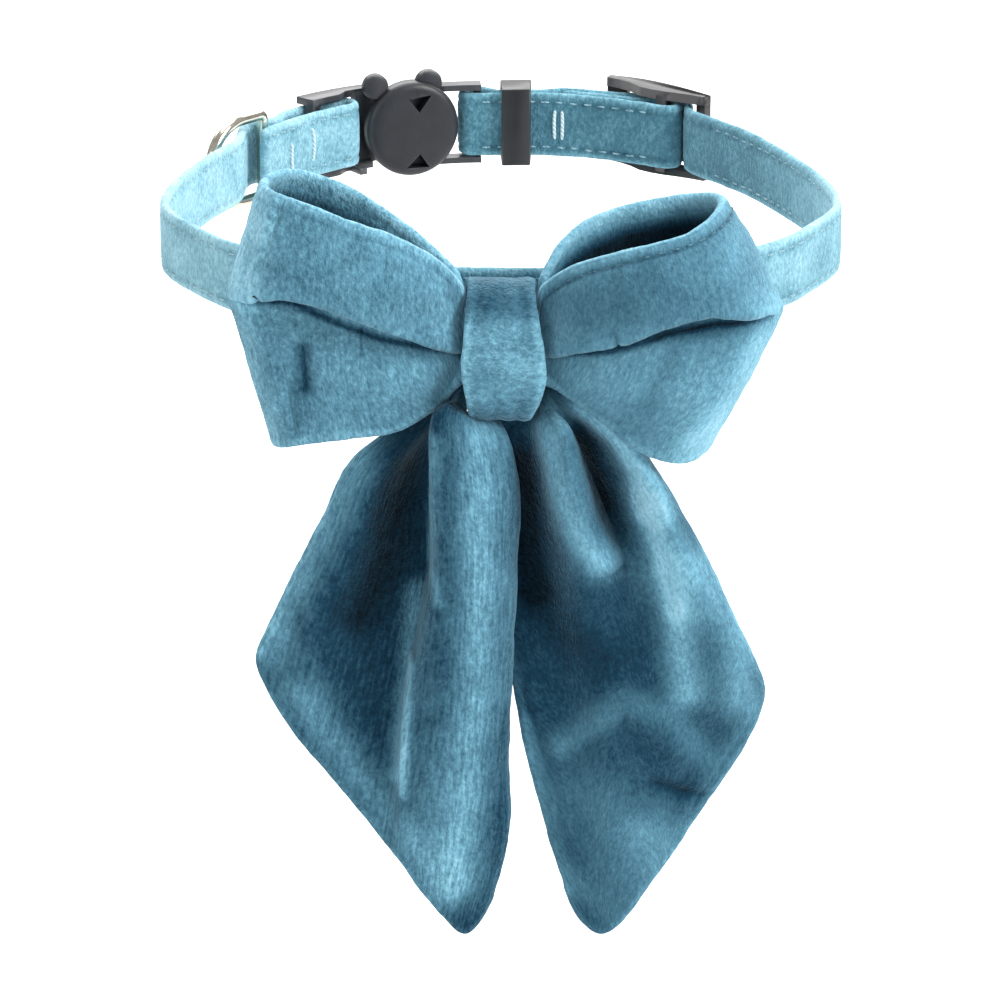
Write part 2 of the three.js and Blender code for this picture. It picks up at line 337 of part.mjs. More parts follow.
disc = disc.subtract(solid(claspPlate([[-0.9, 4.9], [2.8, 5.3], [0.8, 2.7]], -2.4, 0.2)));
disc = disc.subtract(solid(claspPlate([[-1.3, -6.0], [2.4, -6.1], [0.9, -3.9]], -2.4, 0.2)));
// rails and bar that carry the strap's right fold
for (const z of [[5.3, 6.2], [-6.2, -5.3]]) {
  disc = disc.add(solid(prism(block(292.4, 300.3, -0.1, 2.6, 6), z[0], z[1])));
}
disc = disc.add(solid(prism(block(299.2, 300.3, 1.2, 2.6, 1), -6.0, 6.0)));

// the other half: plate behind the disc, rails and bar at its left
let frame = solid(prism(block(281.6, 294.0, 3.1, 4.7, 6), -5.6, 5.6));
for (const z of [[5.3, 6.4], [-6.4, -5.3]]) {
  frame = frame.add(solid(prism(block(272.4, 284.0, (f) => (f < 0.55 ? 1.1 : 2.4), 4.7, 8), z[0], z[1])));
}
frame = frame.add(solid(prism(block(272.4, 274.0, 1.15, 2.65, 1), -6.0, 6.0)));
// small foot below the strap beside the disc
frame = frame.add(solid(prism(block(280.2, 281.4, -0.6, 3.0, 1), -6.4, -5.4)));

// ---- keeper ----
let keeper = solid(prism(block(-0.2, 4.4, -2.3, 4.2, 2), -6.2, 5.95));
keeper = keeper.subtract(solid(prism(block(-2, 6.2, -1.2, 3.1, 6), -5.3, 5.3)));

// ---- tri-glide ----
const railLow = (f) => [5.1, 4.4, 3.3, 1.9, 1.5, 1.6, 2.0, 2.4, 2.7][Math.round(f * 8)];
const railHigh = (f) => [6.7, 6.7, 6.6, 6.3, 5.9, 5.5, 5.0, 4.6, 4.2][Math.round(f * 8)];
let slider = solid(prism(block(14.6, 32.3, railLow, railHigh, 8), 5.4, 6.8));
slider = slider.add(solid(prism(block(14.6, 32.3, railLow, railHigh, 8), -6.4, -5.4)));
slider = slider.add(solid(prism(block(14.6, 16.4, 5.3, 6.8, 1), -6.0, 6.0)));
slider = slider.add(solid(prism(block(24.3, 26.0, 1.5, 2.8, 1), -6.0, 6.0)));
slider = slider.add(solid(prism(block(30.9, 32.3, 2.9, 4.2, 1), -6.0, 6.0)));

// ---- D-ring ----
const D_S = 261.8, D_N = 2.05;
const dc = sn(D_S, D_N);
const df = frameAt(D_S);
const da = D_ANGLE * Math.PI / 180;
const dDir = [-df.t[0] * Math.cos(da) + df.n[0] * Math.sin(da), -df.t[1] * Math.cos(da) + df.n[1] * Math.sin(da)];
const dOut = [];
const corner = 1.0;
for (let i = 0; i <= 4; i++) dOut.push([0, -D_HALF + corner + (2 * D_HALF - 2 * corner) * i / 4]);
for (let i = 1; i <= 3; i++) { const a = Math.PI - i * Math.PI / 6; dOut.push([corner + corner * Math.cos(a), D_HALF - corner + corner * Math.sin(a)]); }
dOut.push([2.6, D_HALF], [3.9, D_HALF]);
for (let i = 1; i <= 12; i++) { const a = Math.PI / 2 - (i - 0.5) * Math.PI / 12; dOut.push([4.6 + (D_REACH - 4.6) * Math.cos(a), D_HALF * Math.sin(a)]); }
dOut.push([3.9, -D_HALF], [2.6, -D_HALF]);
for (let i = 1; i <= 2; i++) { const a = -Math.PI / 2 - i * Math.PI / 6; dOut.push([corner + corner * Math.cos(a), -D_HALF + corner + corner * Math.sin(a)]); }
const dPos = [], dIdx = [], DSEG = 8;
for (let i = 0; i < dOut.length; i++) {
  const n = dOut.length, a = dOut[(i + n - 1) % n], b = dOut[(i + 1) % n], l = Math.hypot(b[0] - a[0], b[1] - a[1]);
  const nrm = [(b[1] - a[1]) / l, -(b[0] - a[0]) / l];
  for (let k = 0; k < DSEG; k++) {
    const w = (k + 0.5) * 2 * Math.PI / DSEG;
    const r = dOut[i][0] + nrm[0] * WIRE_R * Math.cos(w), z = dOut[i][1] + nrm[1] * WIRE_R * Math.cos(w), side = WIRE_R * Math.sin(w);
    dPos.push(dc[0] + dDir[0] * r - dDir[1] * side, dc[1] + dDir[1] * r + dDir[0] * side, z);
    const i2 = (i + 1) % n, k2 = (k + 1) % DSEG;
    dIdx.push(i * DSEG + k, i2 * DSEG + k, i2 * DSEG + k2, i * DSEG + k, i2 * DSEG + k2, i * DSEG + k2);
  }
}
const dGeo = closedMesh(dPos, dIdx);

// ---- the object ----
const velvet = new THREE.MeshStandardMaterial({ color: 0x5b93ab, roughness: 0.95, metalness: 0, side: THREE.DoubleSide });
const velvetPale = new THREE.MeshStandardMaterial({ color: 0x8fc3d6, roughness: 0.95, metalness: 0, side: THREE.DoubleSide });
const plastic = new THREE.MeshStandardMaterial({ color: 0x3a3c42, roughness: 0.45, metalness: 0 });
const metal = new THREE.MeshStandardMaterial({ color: 0xd9d6cc, roughness: 0.15, metalness: 1 });

const group = new THREE.Group();
function part(name, geo, material) {
  const mesh = new THREE.Mesh(geo, material);
  mesh.name = name;
  group.add(mesh);
  return mesh;
}
part('collar_strap', strapGeo, velvetPale);
part('bow_loop_left', loopLeftGeo, velvet);
part('bow_loop_right', loopRightGeo, velvet);
part('tail_left', tailLeftGeo, velvet);
part('tail_right', tailRightGeo, velvet);
part('knot_band', knotGeo, velvet);
part('clasp_disc', geometry(disc), plastic);
part('clasp_frame', geometry(frame), plastic);
part('keeper_loop', geometry(keeper), plastic);
part('slider', geometry(slider), plastic);
part('d_ring', dGeo, metal);

export default group;
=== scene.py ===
# Pet bow tie collar: the looks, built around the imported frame. Lengths below are in millimetres unless said otherwise.
import math

import bmesh
import bpy
import numpy as np
from mathutils import Matrix, Vector


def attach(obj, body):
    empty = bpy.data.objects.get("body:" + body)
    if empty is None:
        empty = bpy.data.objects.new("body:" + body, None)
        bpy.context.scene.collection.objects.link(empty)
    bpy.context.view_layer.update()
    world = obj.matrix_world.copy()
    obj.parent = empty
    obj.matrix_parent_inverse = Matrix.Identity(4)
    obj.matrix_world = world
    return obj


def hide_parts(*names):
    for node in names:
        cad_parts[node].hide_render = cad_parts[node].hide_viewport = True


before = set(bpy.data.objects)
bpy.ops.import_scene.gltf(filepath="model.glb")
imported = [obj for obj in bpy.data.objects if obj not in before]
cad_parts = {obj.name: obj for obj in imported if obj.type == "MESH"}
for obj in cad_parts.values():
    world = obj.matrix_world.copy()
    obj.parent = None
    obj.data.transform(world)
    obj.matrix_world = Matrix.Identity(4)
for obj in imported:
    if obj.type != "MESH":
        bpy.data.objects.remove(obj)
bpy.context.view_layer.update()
MM = 0.001
scene = bpy.context.scene

# ---------------------------------------------------------------- camera
cam_data = bpy.data.cameras.new("camera")
cam_data.sensor_fit = "HORIZONTAL"
cam_data.sensor_width = 36
cam_data.lens = 4900 * 36 / 1001
cam_data.clip_start = 0.01
cam_data.clip_end = 20
cam = bpy.data.objects.new("camera", cam_data)
scene.collection.objects.link(cam)
cam.location = (0, -0.686751, 0.191630)
cam.rotation_euler = (math.radians(71), 0, 0)
scene.camera = cam

# ---------------------------------------------------------------- small maths
def catmull(p0, p1, p2, p3, t):
    return 0.5 * (2 * p1 + (p2 - p0) * t + (2 * p0 - 5 * p1 + 4 * p2 - p3) * t * t + (3 * p1 - p0 - 3 * p2 + p3) * t ** 3)


def spline_at(control, t, closed=False):
    """control (n, ...), t (m,) in index units: a smooth curve through the controls."""
    n = len(control)
    i = np.floor(t).astype(int)
    if not closed:
        i = np.clip(i, 0, n - 2)
    f = (t - i).reshape((-1,) + (1,) * (control.ndim - 1))
    at = (lambda k: control[k % n]) if closed else (lambda k: control[np.clip(k, 0, n - 1)])
    return catmull(at(i - 1), at(i), at(i + 1), at(i + 2), f)


def steps_between(lengths, spacing, least=2):
    out = []
    for k, length in enumerate(lengths):
        n = max(least, int(math.ceil(length / spacing)))
        out += [k + j / n for j in range(n)]
    return np.array(out + [len(lengths)])


def unit(v):
    return v / np.maximum(np.linalg.norm(v, axis=-1, keepdims=True), 1e-12)


def value_noise(p, size, seed):
    """smooth noise in -1..1 at points p (n, 3), with cells of the given size."""
    q = p / size + 131.7 * (seed % 17 + 1)
    i = np.floor(q).astype(np.int64)
    f = q - i
    f = f * f * f * (f * (f * 6 - 15) + 10)
    total = 0
    for dx in (0, 1):
        for dy in (0, 1):
            for dz in (0, 1):
                h = ((i[:, 0] + dx) * 73856093) ^ ((i[:, 1] + dy) * 19349663) ^ ((i[:, 2] + dz) * 83492791) ^ (seed * 2654435761)
                h = (h ^ (h >> 13)) * 1274126177 & 0x7FFFFFFF
                h = (h ^ (h >> 16)) & 0xFFFF
                w = (f[:, 0] if dx else 1 - f[:, 0]) * (f[:, 1] if dy else 1 - f[:, 1]) * (f[:, 2] if dz else 1 - f[:, 2])
                total = total + w * (h / 32767.5 - 1)
    return total


def make_object(name, verts, faces, uvs=None, tone=None, smooth=True):
    """verts in mm; faces a list of tuples or an (n, 4) array."""
    me = bpy.data.meshes.new(name)
    me.from_pydata((np.asarray(verts) * MM).tolist(), [], [tuple(int(i) for i in f) for f in faces])
    me.validate()
    if uvs is not None:
        layer = me.uv_layers.new(name="cloth")
        idx = np.zeros(len(me.loops), dtype=np.int32)
        me.loops.foreach_get("vertex_index", idx)
        layer.uv.foreach_set("vector", np.asarray(uvs, dtype=np.float32)[idx].ravel())
    if tone is not None:
        att = me.attributes.new("tone", "FLOAT", "POINT")
        att.data.foreach_set("value", np.asarray(tone, dtype=np.float32))
    if smooth:
        me.polygons.foreach_set("use_smooth", [True] * len(me.polygons))
    me.update()
    ob = bpy.data.objects.new(name, me)
    scene.collection.objects.link(ob)
    return ob


def outward(verts, faces):
    """the faces turned so that the closed mesh has positive volume."""
    v = np.asarray(verts)
    f = np.asarray(faces)
    vol = 0
    for tri in (f[:, [0, 1, 2]], f[:, [0, 2, 3]]):
        a, b, c = v[tri[:, 0]], v[tri[:, 1]], v[tri[:, 2]]
        vol += np.einsum("ij,ij->i", a, np.cross(b, c)).sum()
    return f if vol > 0 else f[:, ::-1]


def closed_sheet(name, mid, half, uv, tone, wrap=False, arc=5, nap=None):
    """A closed piece of cloth around a grid of middle points (nu, nv, 3), with rounded turned edges.
    half is the half thickness, a number or (nu, nv). nap(points, normals) gives how far each point moves along its normal."""
    nu, nv = mid.shape[:2]
    half = np.broadcast_to(half, (nu, nv))
    du = (np.roll(mid, -1, 0) - np.roll(mid, 1, 0)) if wrap else np.gradient(mid, axis=0)
    dv = np.gradient(mid, axis=1)
    nrm = unit(np.cross(du, dv))
    du, dv = unit(du), unit(dv)
    ids = np.arange(nu * nv).reshape(nu, nv)
    front = mid + nrm * half[..., None]
    back = mid - nrm * half[..., None]
    verts = [front.reshape(-1, 3), back.reshape(-1, 3)]
    norms = [nrm.reshape(-1, 3), -nrm.reshape(-1, 3)]
    uvs = [uv.reshape(-1, 2), uv.reshape(-1, 2)]
    tone_n, tone_b = tone
    tones = [tone_n.reshape(-1), tone_b.reshape(-1)]
    nb = nu * nv
    rows = nu if wrap else nu - 1
    i = np.arange(rows)[:, None]
    i2 = (i + 1) % nu
    j = np.arange(nv - 1)[None, :]
    a, b, c, d = ids[i, j], ids[i2, j], ids[i2, j + 1], ids[i, j + 1]
    quads = [np.stack([a, b, c, d], -1).reshape(-1, 4), np.stack([a, d, c, b], -1).reshape(-1, 4) + nb]
    # the edge loops, each an ordered list of (i, j) with its outward direction
    if wrap:
        loops = [([(k, 0) for k in range(nu)], -1), ([(k, nv - 1) for k in range(nu)], 1)]
    else:
        ring = [(k, 0) for k in range(nu)] + [(nu - 1, k) for k in range(1, nv)]
        ring += [(k, nv - 1) for k in range(nu - 2, -1, -1)] + [(0, k) for k in range(nv - 2, 0, -1)]
        loops = [(ring, 0)]
    base = 2 * nb
    for ring, side in loops:
        ii = np.array([r[0] for r in ring])
        jj = np.array([r[1] for r in ring])
        if side:
            o = dv[ii, jj] * side
        else:
            o = np.zeros((len(ring), 3))
            o += np.where((jj == 0)[:, None], -dv[ii, jj], 0) + np.where((jj == nv - 1)[:, None], dv[ii, jj], 0)
            o += np.where((ii == 0)[:, None], -du[ii, jj], 0) + np.where((ii == nu - 1)[:, None], du[ii, jj], 0)
        n = nrm[ii, jj]
        if not side:
            # square to the edge as it really runs, so that rounded corners stay smooth
            along = np.roll(mid[ii, jj], -1, 0) - np.roll(mid[ii, jj], 1, 0)
            turn = np.cross(along, n)
            o = turn * np.sign(np.einsum("ij,ij->i", turn, o))[:, None]
        o = unit(o - n * np.einsum("ij,ij->i", o, n)[:, None])
        h = half[ii, jj][:, None]
        prev = ids[ii, jj]
        m = len(ring)
        # the cloth's pattern runs on around the edge
        run = np.stack([np.zeros(m) if side else (ii == nu - 1) * 1.0 - (ii == 0), (jj == nv - 1) * 1.0 - (jj == 0)], -1)
        for k in range(1, arc + 1):
            if k < arc:
                th = math.pi * k / arc
                p = mid[ii, jj] + n * h * math.cos(th) + o * h * math.sin(th)
                verts.append(p)
                norms.append(n * math.cos(th) + o * math.sin(th))
                uvs.append(uv[ii, jj] + run * h * (math.pi / 2 - abs(th - math.pi / 2)))
                tones.append(np.maximum(tone_n, tone_b)[ii, jj])
                cur = base + np.arange(m)
                base += m
            else:
                cur = ids[ii, jj] + nb
            nxt, nxt_c = np.roll(prev, -1), np.roll(cur, -1)
            quads.append(np.stack([prev, cur, nxt_c, nxt], -1) if side <= 0 else np.stack([prev, nxt, nxt_c, cur], -1))
            prev = cur
    verts = np.concatenate(verts)
    norms = np.concatenate(norms)
    if nap is not None:
        verts = verts + norms * nap(verts, norms)[:, None]
    faces = outward(verts, np.concatenate(quads))
    return make_object(name, verts, faces, np.concatenate(uvs), np.concatenate(tones))


def refine(table, spacing, inset, ends_inset=0.0, least=2):
    """table (nc, nr, 3) of columns of points -> a fine grid, its edge rows moved in by inset and its end columns by ends_inset.
    Also gives the cloth coordinates (mm along, mm across) and the control coordinates of every point."""
    t = np.asarray(table, float)
    nc, nr = t.shape[:2]
    lu = np.linalg.norm(np.diff(t, axis=0), axis=-1).max(1)
    lv = np.linalg.norm(np.diff(t, axis=1), axis=-1).max(0)
    us, vs = steps_between(lu, spacing, least), steps_between(lv, spacing, least)
    if ends_inset:
        a = ends_inset / np.linalg.norm(t[1] - t[0], axis=-1).mean()
        b = ends_inset / np.linalg.norm(t[-1] - t[-2], axis=-1).mean()
        us = np.where(us < 1, a + us * (1 - a), np.where(us > nc - 2, nc - 2 + (us - nc + 2) * (1 - b), us))
    cols = spline_at(t, us)
    first = inset / np.maximum(np.linalg.norm(cols[:, 1] - cols[:, 0], axis=-1), inset * 1.3)
    last = inset / np.maximum(np.linalg.norm(cols[:, -1] - cols[:, -2], axis=-1), inset * 1.3)
    V = np.broadcast_to(vs, (len(us), len(vs))).copy()
    V = np.where(V < 1, first[:, None] + V * (1 - first[:, None]), V)
    V = np.where(V > nr - 2, nr - 2 + (V - nr + 2) * (1 - last[:, None]), V)
    i = np.clip(np.floor(V).astype(int), 0, nr - 2)
    f = (V - i)[..., None]
    r = np.arange(len(us))[:, None]
    at = lambda k: cols[r, np.clip(k, 0, nr - 1)]
    grid = catmull(at(i - 1), at(i), at(i + 1), at(i + 2), f)
    su = np.concatenate([[0], np.cumsum(np.linalg.norm(np.diff(grid.mean(1), axis=0), axis=-1))])
    su = np.concatenate([[0], np.cumsum(np.linalg.norm(np.diff(grid, axis=0), axis=-1).mean(1))])
    sv = np.concatenate([np.zeros((len(us), 1)), np.cumsum(np.linalg.norm(np.diff(grid, axis=1), axis=-1), 1)], 1)
    uv = np.stack([np.broadcast_to(su[:, None], sv.shape), sv], -1)
    ctl = np.stack([np.broadcast_to(us[:, None], V.shape), V], -1)
    return grid, uv, ctl


def gauss(x, c, w):
    return np.exp(-((x - c) / w) ** 2)


def stroke(x, z, path, width, strength):
    """a soft brush mark along a path of (x, z) points."""
    path = np.asarray(path, float)
    best = np.full(x.shape, 1e9)
    if len(path) == 1:
        best = np.hypot(x - path[0, 0], z - path[0, 1])
    for a, b in zip(path[:-1], path[1:]):
        d = b - a
        t = np.clip(((x - a[0]) * d[0] + (z - a[1]) * d[1]) / (d @ d), 0, 1)
        best = np.minimum(best, np.hypot(x - a[0] - t * d[0], z - a[1] - t * d[1]))
    return strength * np.exp(-(best / width) ** 2)


def nap_of(seed, coarse=0.12, mid=0.07, fine=0.04):
    def f(p, n):
        return coarse * value_noise(p, 6.0, seed) + mid * value_noise(p, 1.9, seed + 1) + fine * value_noise(p * [1, 1, 0.8], 0.8, seed + 2)
    return f


# threads: each a short rounded tube that dips into the cloth at both ends
def threads(name, segs, radius, sides=6):
    """segs is a list of (m, 3) point arrays."""
    verts, faces = [], []
    for pts in segs:
        pts = np.asarray(pts, float)
        m = len(pts)
        tan = unit(np.gradient(pts, axis=0))
        ref = np.where(np.abs(tan[:, 2:3]) < 0.8, np.array([[0, 0, 1.0]]), np.array([[1.0, 0, 0]]))
        a = unit(np.cross(tan, ref))
        b = np.cross(tan, a)
        base = len(verts)
        prof = np.sqrt(np.clip(1 - np.linspace(-1, 1, m) ** 6, 0.12, 1))
        for k in range(m):
            for s in range(sides):
                w = 2 * math.pi * s / sides
                verts.append(pts[k] + radius * prof[k] * (a[k] * math.cos(w) + b[k] * math.sin(w)))
        for k in range(m - 1):
            for s in range(sides):
                s2 = (s + 1) % sides
                faces.append((base + k * sides + s, base + k * sides + s2, base + (k + 1) * sides + s2, base + (k + 1) * sides + s))
        faces.append(tuple(base + s for s in reversed(range(sides))))
        faces.append(tuple(base + (m - 1) * sides + s for s in range(sides)))
    ob = make_object(name, np.array(verts), faces)
    bm = bmesh.new()
    bm.from_mesh(ob.data)
    bmesh.ops.recalc_face_normals(bm, faces=bm.faces)
    bm.to_mesh(ob.data)
    bm.free()
    return ob

# ---------------------------------------------------------------- materials
def new_material(name):
    m = bpy.data.materials.new(name)
    m.use_nodes = True
    nt = m.node_tree
    nt.nodes.clear()
    out = nt.nodes.new("ShaderNodeOutputMaterial")
    bsdf = nt.nodes.new("ShaderNodeBsdfPrincipled")
    nt.links.new(bsdf.outputs[0], out.inputs[0])
    return m, nt, bsdf


def srgb(r, g, b):
    f = lambda c: c / 12.92 if c <= 0.04045 else ((c + 0.055) / 1.055) ** 2.4
    return (f(r / 255), f(g / 255), f(b / 255), 1)


def node(nt, kind, **values):
    n = nt.nodes.new(kind)
    for k, v in values.items():
        if k.startswith("in_"):
            key = k[3:]
            n.inputs[int(key) if key.isdigit() else key.replace("_", " ")].default_value = v
        else:
            setattr(n, k, v)
    return n


def ramp(nt, stops, interpolation="EASE"):
    n = nt.nodes.new("ShaderNodeValToRGB")
    n.color_ramp.interpolation = interpolation
    e = n.color_ramp.elements
    e[0].position, e[0].color = stops[0]
    e[1].position, e[1].color = stops[-1]
    for pos, col in stops[1:-1]:
        x = e.new(pos)
        x.color = col
    return n


def maths(nt, op, a, b=None, clamp=False):
    n = node(nt, "ShaderNodeMath", operation=op, use_clamp=clamp)
    for k, v in enumerate((a, b)):
        if v is None:
            continue
        if isinstance(v, (int, float)):
            n.inputs[k].default_value = v
        else:
            nt.links.new(v, n.inputs[k])
    return n.outputs[0]


def velvet(name, stops, rib=0.25, mottle=0.32, sheen=0.5, sheen_rough=0.4, tint=(0.62, 0.86, 0.95, 1), bump=0.6, angle=0.0):
    """Short-pile velvet. The tone attribute (0 dark, 1 pale) is partly how the pile lies and partly painted light and
    shade: painted highlights on ridges and rims, painted shade in creases, folds and recesses. The noises are the
    brushed mottle.
    """
    m, nt, bsdf = new_material(name)
    L = nt.links.new
    uv = node(nt, "ShaderNodeUVMap", uv_map="cloth")
    tone = node(nt, "ShaderNodeAttribute", attribute_name="tone")

    def noise(scale, stretch, rot, detail=3, rough=0.6, seed=0.0):
        mp = node(nt, "ShaderNodeMapping")
        mp.inputs["Scale"].default_value = (stretch[0], stretch[1], 1)
        mp.inputs["Rotation"].default_value = (0, 0, rot)
        mp.inputs["Location"].default_value = (seed, seed * 1.7, 0)
        n = node(nt, "ShaderNodeTexNoise", noise_dimensions="2D")
        n.inputs["Scale"].default_value = scale
        n.inputs["Detail"].default_value = detail
        n.inputs["Roughness"].default_value = rough
        L(uv.outputs[0], mp.inputs[0])
        L(mp.outputs[0], n.inputs[0])
        return n.outputs[0]

    speck = noise(1.45, (1.0, 0.75), angle + 0.5, 3, 0.68, 3.1)      # brushed flecks, under 1 mm
    fleck = noise(2.9, (1.0, 0.6), angle - 0.35, 3, 0.65, 7.7)      # single tufts
    patch = noise(0.2, (1.0, 0.8), 0.3, 2, 0.5, 1.3)                 # hand-wide shading of the pile
    ribs = noise(2.1, (1.0, 0.12), 0.0, 2, 0.55, 5.9)                 # faint rows of the pile, along the cloth's length
    t = maths(nt, "SUBTRACT", speck, 0.5)
    t = maths(nt, "MULTIPLY", t, mottle * 1.6)
    t2 = maths(nt, "MULTIPLY", maths(nt, "SUBTRACT", fleck, 0.5), mottle * 0.75)
    t3 = maths(nt, "MULTIPLY", maths(nt, "SUBTRACT", patch, 0.5), mottle * 0.9)
    t4 = maths(nt, "MULTIPLY", maths(nt, "SUBTRACT", ribs, 0.5), rib)
    total = maths(nt, "ADD", maths(nt, "ADD", t, t2), maths(nt, "ADD", t3, t4))
    # flecks show least where the tone is very dark, in dark pile and in painted shade alike
    total = maths(nt, "MULTIPLY", total, maths(nt, "ADD", 0.35, maths(nt, "MULTIPLY", tone.outputs["Fac"], 1.0)))
    total = maths(nt, "ADD", total, tone.outputs["Fac"], clamp=True)
    cr = ramp(nt, stops, "LINEAR")
    L(total, cr.inputs[0])
    L(cr.outputs[0], bsdf.inputs["Base Color"])
    bsdf.inputs["Roughness"].default_value = 0.85
    bsdf.inputs["Specular IOR Level"].default_value = 0.05
    bsdf.inputs["Sheen Weight"].default_value = sheen
    bsdf.inputs["Sheen Roughness"].default_value = sheen_rough
    bsdf.inputs["Sheen Tint"].default_value = tint
    height = maths(nt, "ADD", maths(nt, "MULTIPLY", speck, 1.0), maths(nt, "MULTIPLY", fleck, 0.6))
    height = maths(nt, "ADD", height, maths(nt, "MULTIPLY", ribs, rib * 1.6))
    bp = node(nt, "ShaderNodeBump")
    bp.inputs["Strength"].default_value = bump
    bp.inputs["Distance"].default_value = 0.0006
    L(height, bp.inputs["Height"])
    L(bp.outputs[0], bsdf.inputs["Normal"])
    return m


BOW_STOPS = [
    (0.0, srgb(4, 17, 26)),
    (0.2, srgb(24, 63, 85)),
    (0.45, srgb(73, 119, 140)),
    (0.62, srgb(99, 152, 175)),
    (0.8, srgb(132, 192, 215)),
    (1.0, srgb(172, 224, 245)),
]
STRAP_STOPS = [
    (0.0, srgb(12, 34, 46)),
    (0.2, srgb(42, 84, 102)),
    (0.45, srgb(86, 136, 154)),
    (0.62, srgb(124, 178, 196)),
    (0.8, srgb(164, 214, 230)),
    (1.0, srgb(206, 240, 248)),
]
velvet_bow = velvet("velvet_bow", BOW_STOPS, rib=0.22, mottle=0.34)
velvet_bow_soft = velvet("velvet_bow_soft", BOW_STOPS, rib=0.08, mottle=0.25, angle=0.9)
velvet_tail = velvet("velvet_tail", BOW_STOPS, rib=0.42, mottle=0.27, sheen=0.32)
velvet_tail_plain = velvet("velvet_tail_plain", BOW_STOPS, rib=0.12, mottle=0.25, sheen=0.32, angle=0.7)
velvet_knot = velvet("velvet_knot", BOW_STOPS, rib=0.12, mottle=0.34)
velvet_strap = velvet("velvet_strap", STRAP_STOPS, rib=0.08, mottle=0.3, sheen=0.4)


def plastic(name, base, light, rough=0.42):
    """Moulded plastic with a faint grain and a cloudy tone, and a painted highlight that makes its convex edges paler.
    """
    m, nt, bsdf = new_material(name)
    L = nt.links.new
    tc = node(nt, "ShaderNodeTexCoord")
    grain = node(nt, "ShaderNodeTexNoise")
    grain.inputs["Scale"].default_value = 2600
    grain.inputs["Detail"].default_value = 3
    cloud = node(nt, "ShaderNodeTexNoise")
    cloud.inputs["Scale"].default_value = 220
    cloud.inputs["Detail"].default_value = 4
    L(tc.outputs["Object"], grain.inputs[0])
    L(tc.outputs["Object"], cloud.inputs[0])
    # painted highlight on convex edges, found by pointiness
    geo = node(nt, "ShaderNodeNewGeometry")
    edge = ramp(nt, [(0.5, (0, 0, 0, 1)), (0.62, (1, 1, 1, 1))])
    L(geo.outputs["Pointiness"], edge.inputs[0])
    mix = node(nt, "ShaderNodeMix", data_type="RGBA")
    L(maths(nt, "MULTIPLY", edge.outputs[0], 0.35), mix.inputs[0])
    cr = ramp(nt, [(0.3, base), (0.75, light)])
    L(cloud.outputs[0], cr.inputs[0])
    L(cr.outputs[0], mix.inputs[6])
    mix.inputs[7].default_value = srgb(118, 118, 120)
    L(mix.outputs[2], bsdf.inputs["Base Color"])
    rr = node(nt, "ShaderNodeMapRange")
    rr.inputs["To Min"].default_value = rough - 0.08
    rr.inputs["To Max"].default_value = rough + 0.1
    L(cloud.outputs[0], rr.inputs[0])
    L(rr.outputs[0], bsdf.inputs["Roughness"])
    bsdf.inputs["Specular IOR Level"].default_value = 0.5
    bp = node(nt, "ShaderNodeBump")
    bp.inputs["Strength"].default_value = 0.25
    bp.inputs["Distance"].default_value = 0.0001
    L(grain.outputs[0], bp.inputs["Height"])
    L(bp.outputs[0], bsdf.inputs["Normal"])
    return m


clasp_plastic = plastic("clasp_plastic", srgb(30, 32, 37), srgb(38, 40, 46), 0.40)
slider_plastic = plastic("slider_plastic", srgb(20, 18, 18), srgb(30, 26, 25), 0.5)
keeper_plastic = plastic("keeper_plastic", srgb(22, 23, 26), srgb(28, 29, 33), 0.42)


def thread_material(name="thread", dark=(112, 160, 176), pale=(176, 212, 222)):
    m, nt, bsdf = new_material(name)
    L = nt.links.new
    tc = node(nt, "ShaderNodeTexCoord")
    w = node(nt, "ShaderNodeTexWave", wave_type="BANDS", bands_direction="DIAGONAL")
    w.inputs["Scale"].default_value = 900
    w.inputs["Distortion"].default_value = 2
    L(tc.outputs["Object"], w.inputs[0])
    cr = ramp(nt, [(0.0, srgb(*dark)), (1.0, srgb(*pale))])
    L(w.outputs[1], cr.inputs[0])
    L(cr.outputs[0], bsdf.inputs["Base Color"])
    bsdf.inputs["Roughness"].default_value = 0.55
    bsdf.inputs["Sheen Weight"].default_value = 0.3
    bp = node(nt, "ShaderNodeBump")
    bp.inputs["Strength"].default_value = 0.4
    bp.inputs["Distance"].default_value = 0.00006
    L(w.outputs[1], bp.inputs["Height"])
    L(bp.outputs[0], bsdf.inputs["Normal"])
    return m


def thread_dark():
    m, nt, bsdf = new_material("thread_bow")
    L = nt.links.new
    tc = node(nt, "ShaderNodeTexCoord")
    w = node(nt, "ShaderNodeTexNoise")
    w.inputs["Scale"].default_value = 1500
    L(tc.outputs["Object"], w.inputs[0])
    cr = ramp(nt, [(0.3, srgb(40, 82, 100)), (0.7, srgb(92, 140, 158))])
    L(w.outputs[0], cr.inputs[0])
    L(cr.outputs[0], bsdf.inputs["Base Color"])
    bsdf.inputs["Roughness"].default_value = 0.6
    return m


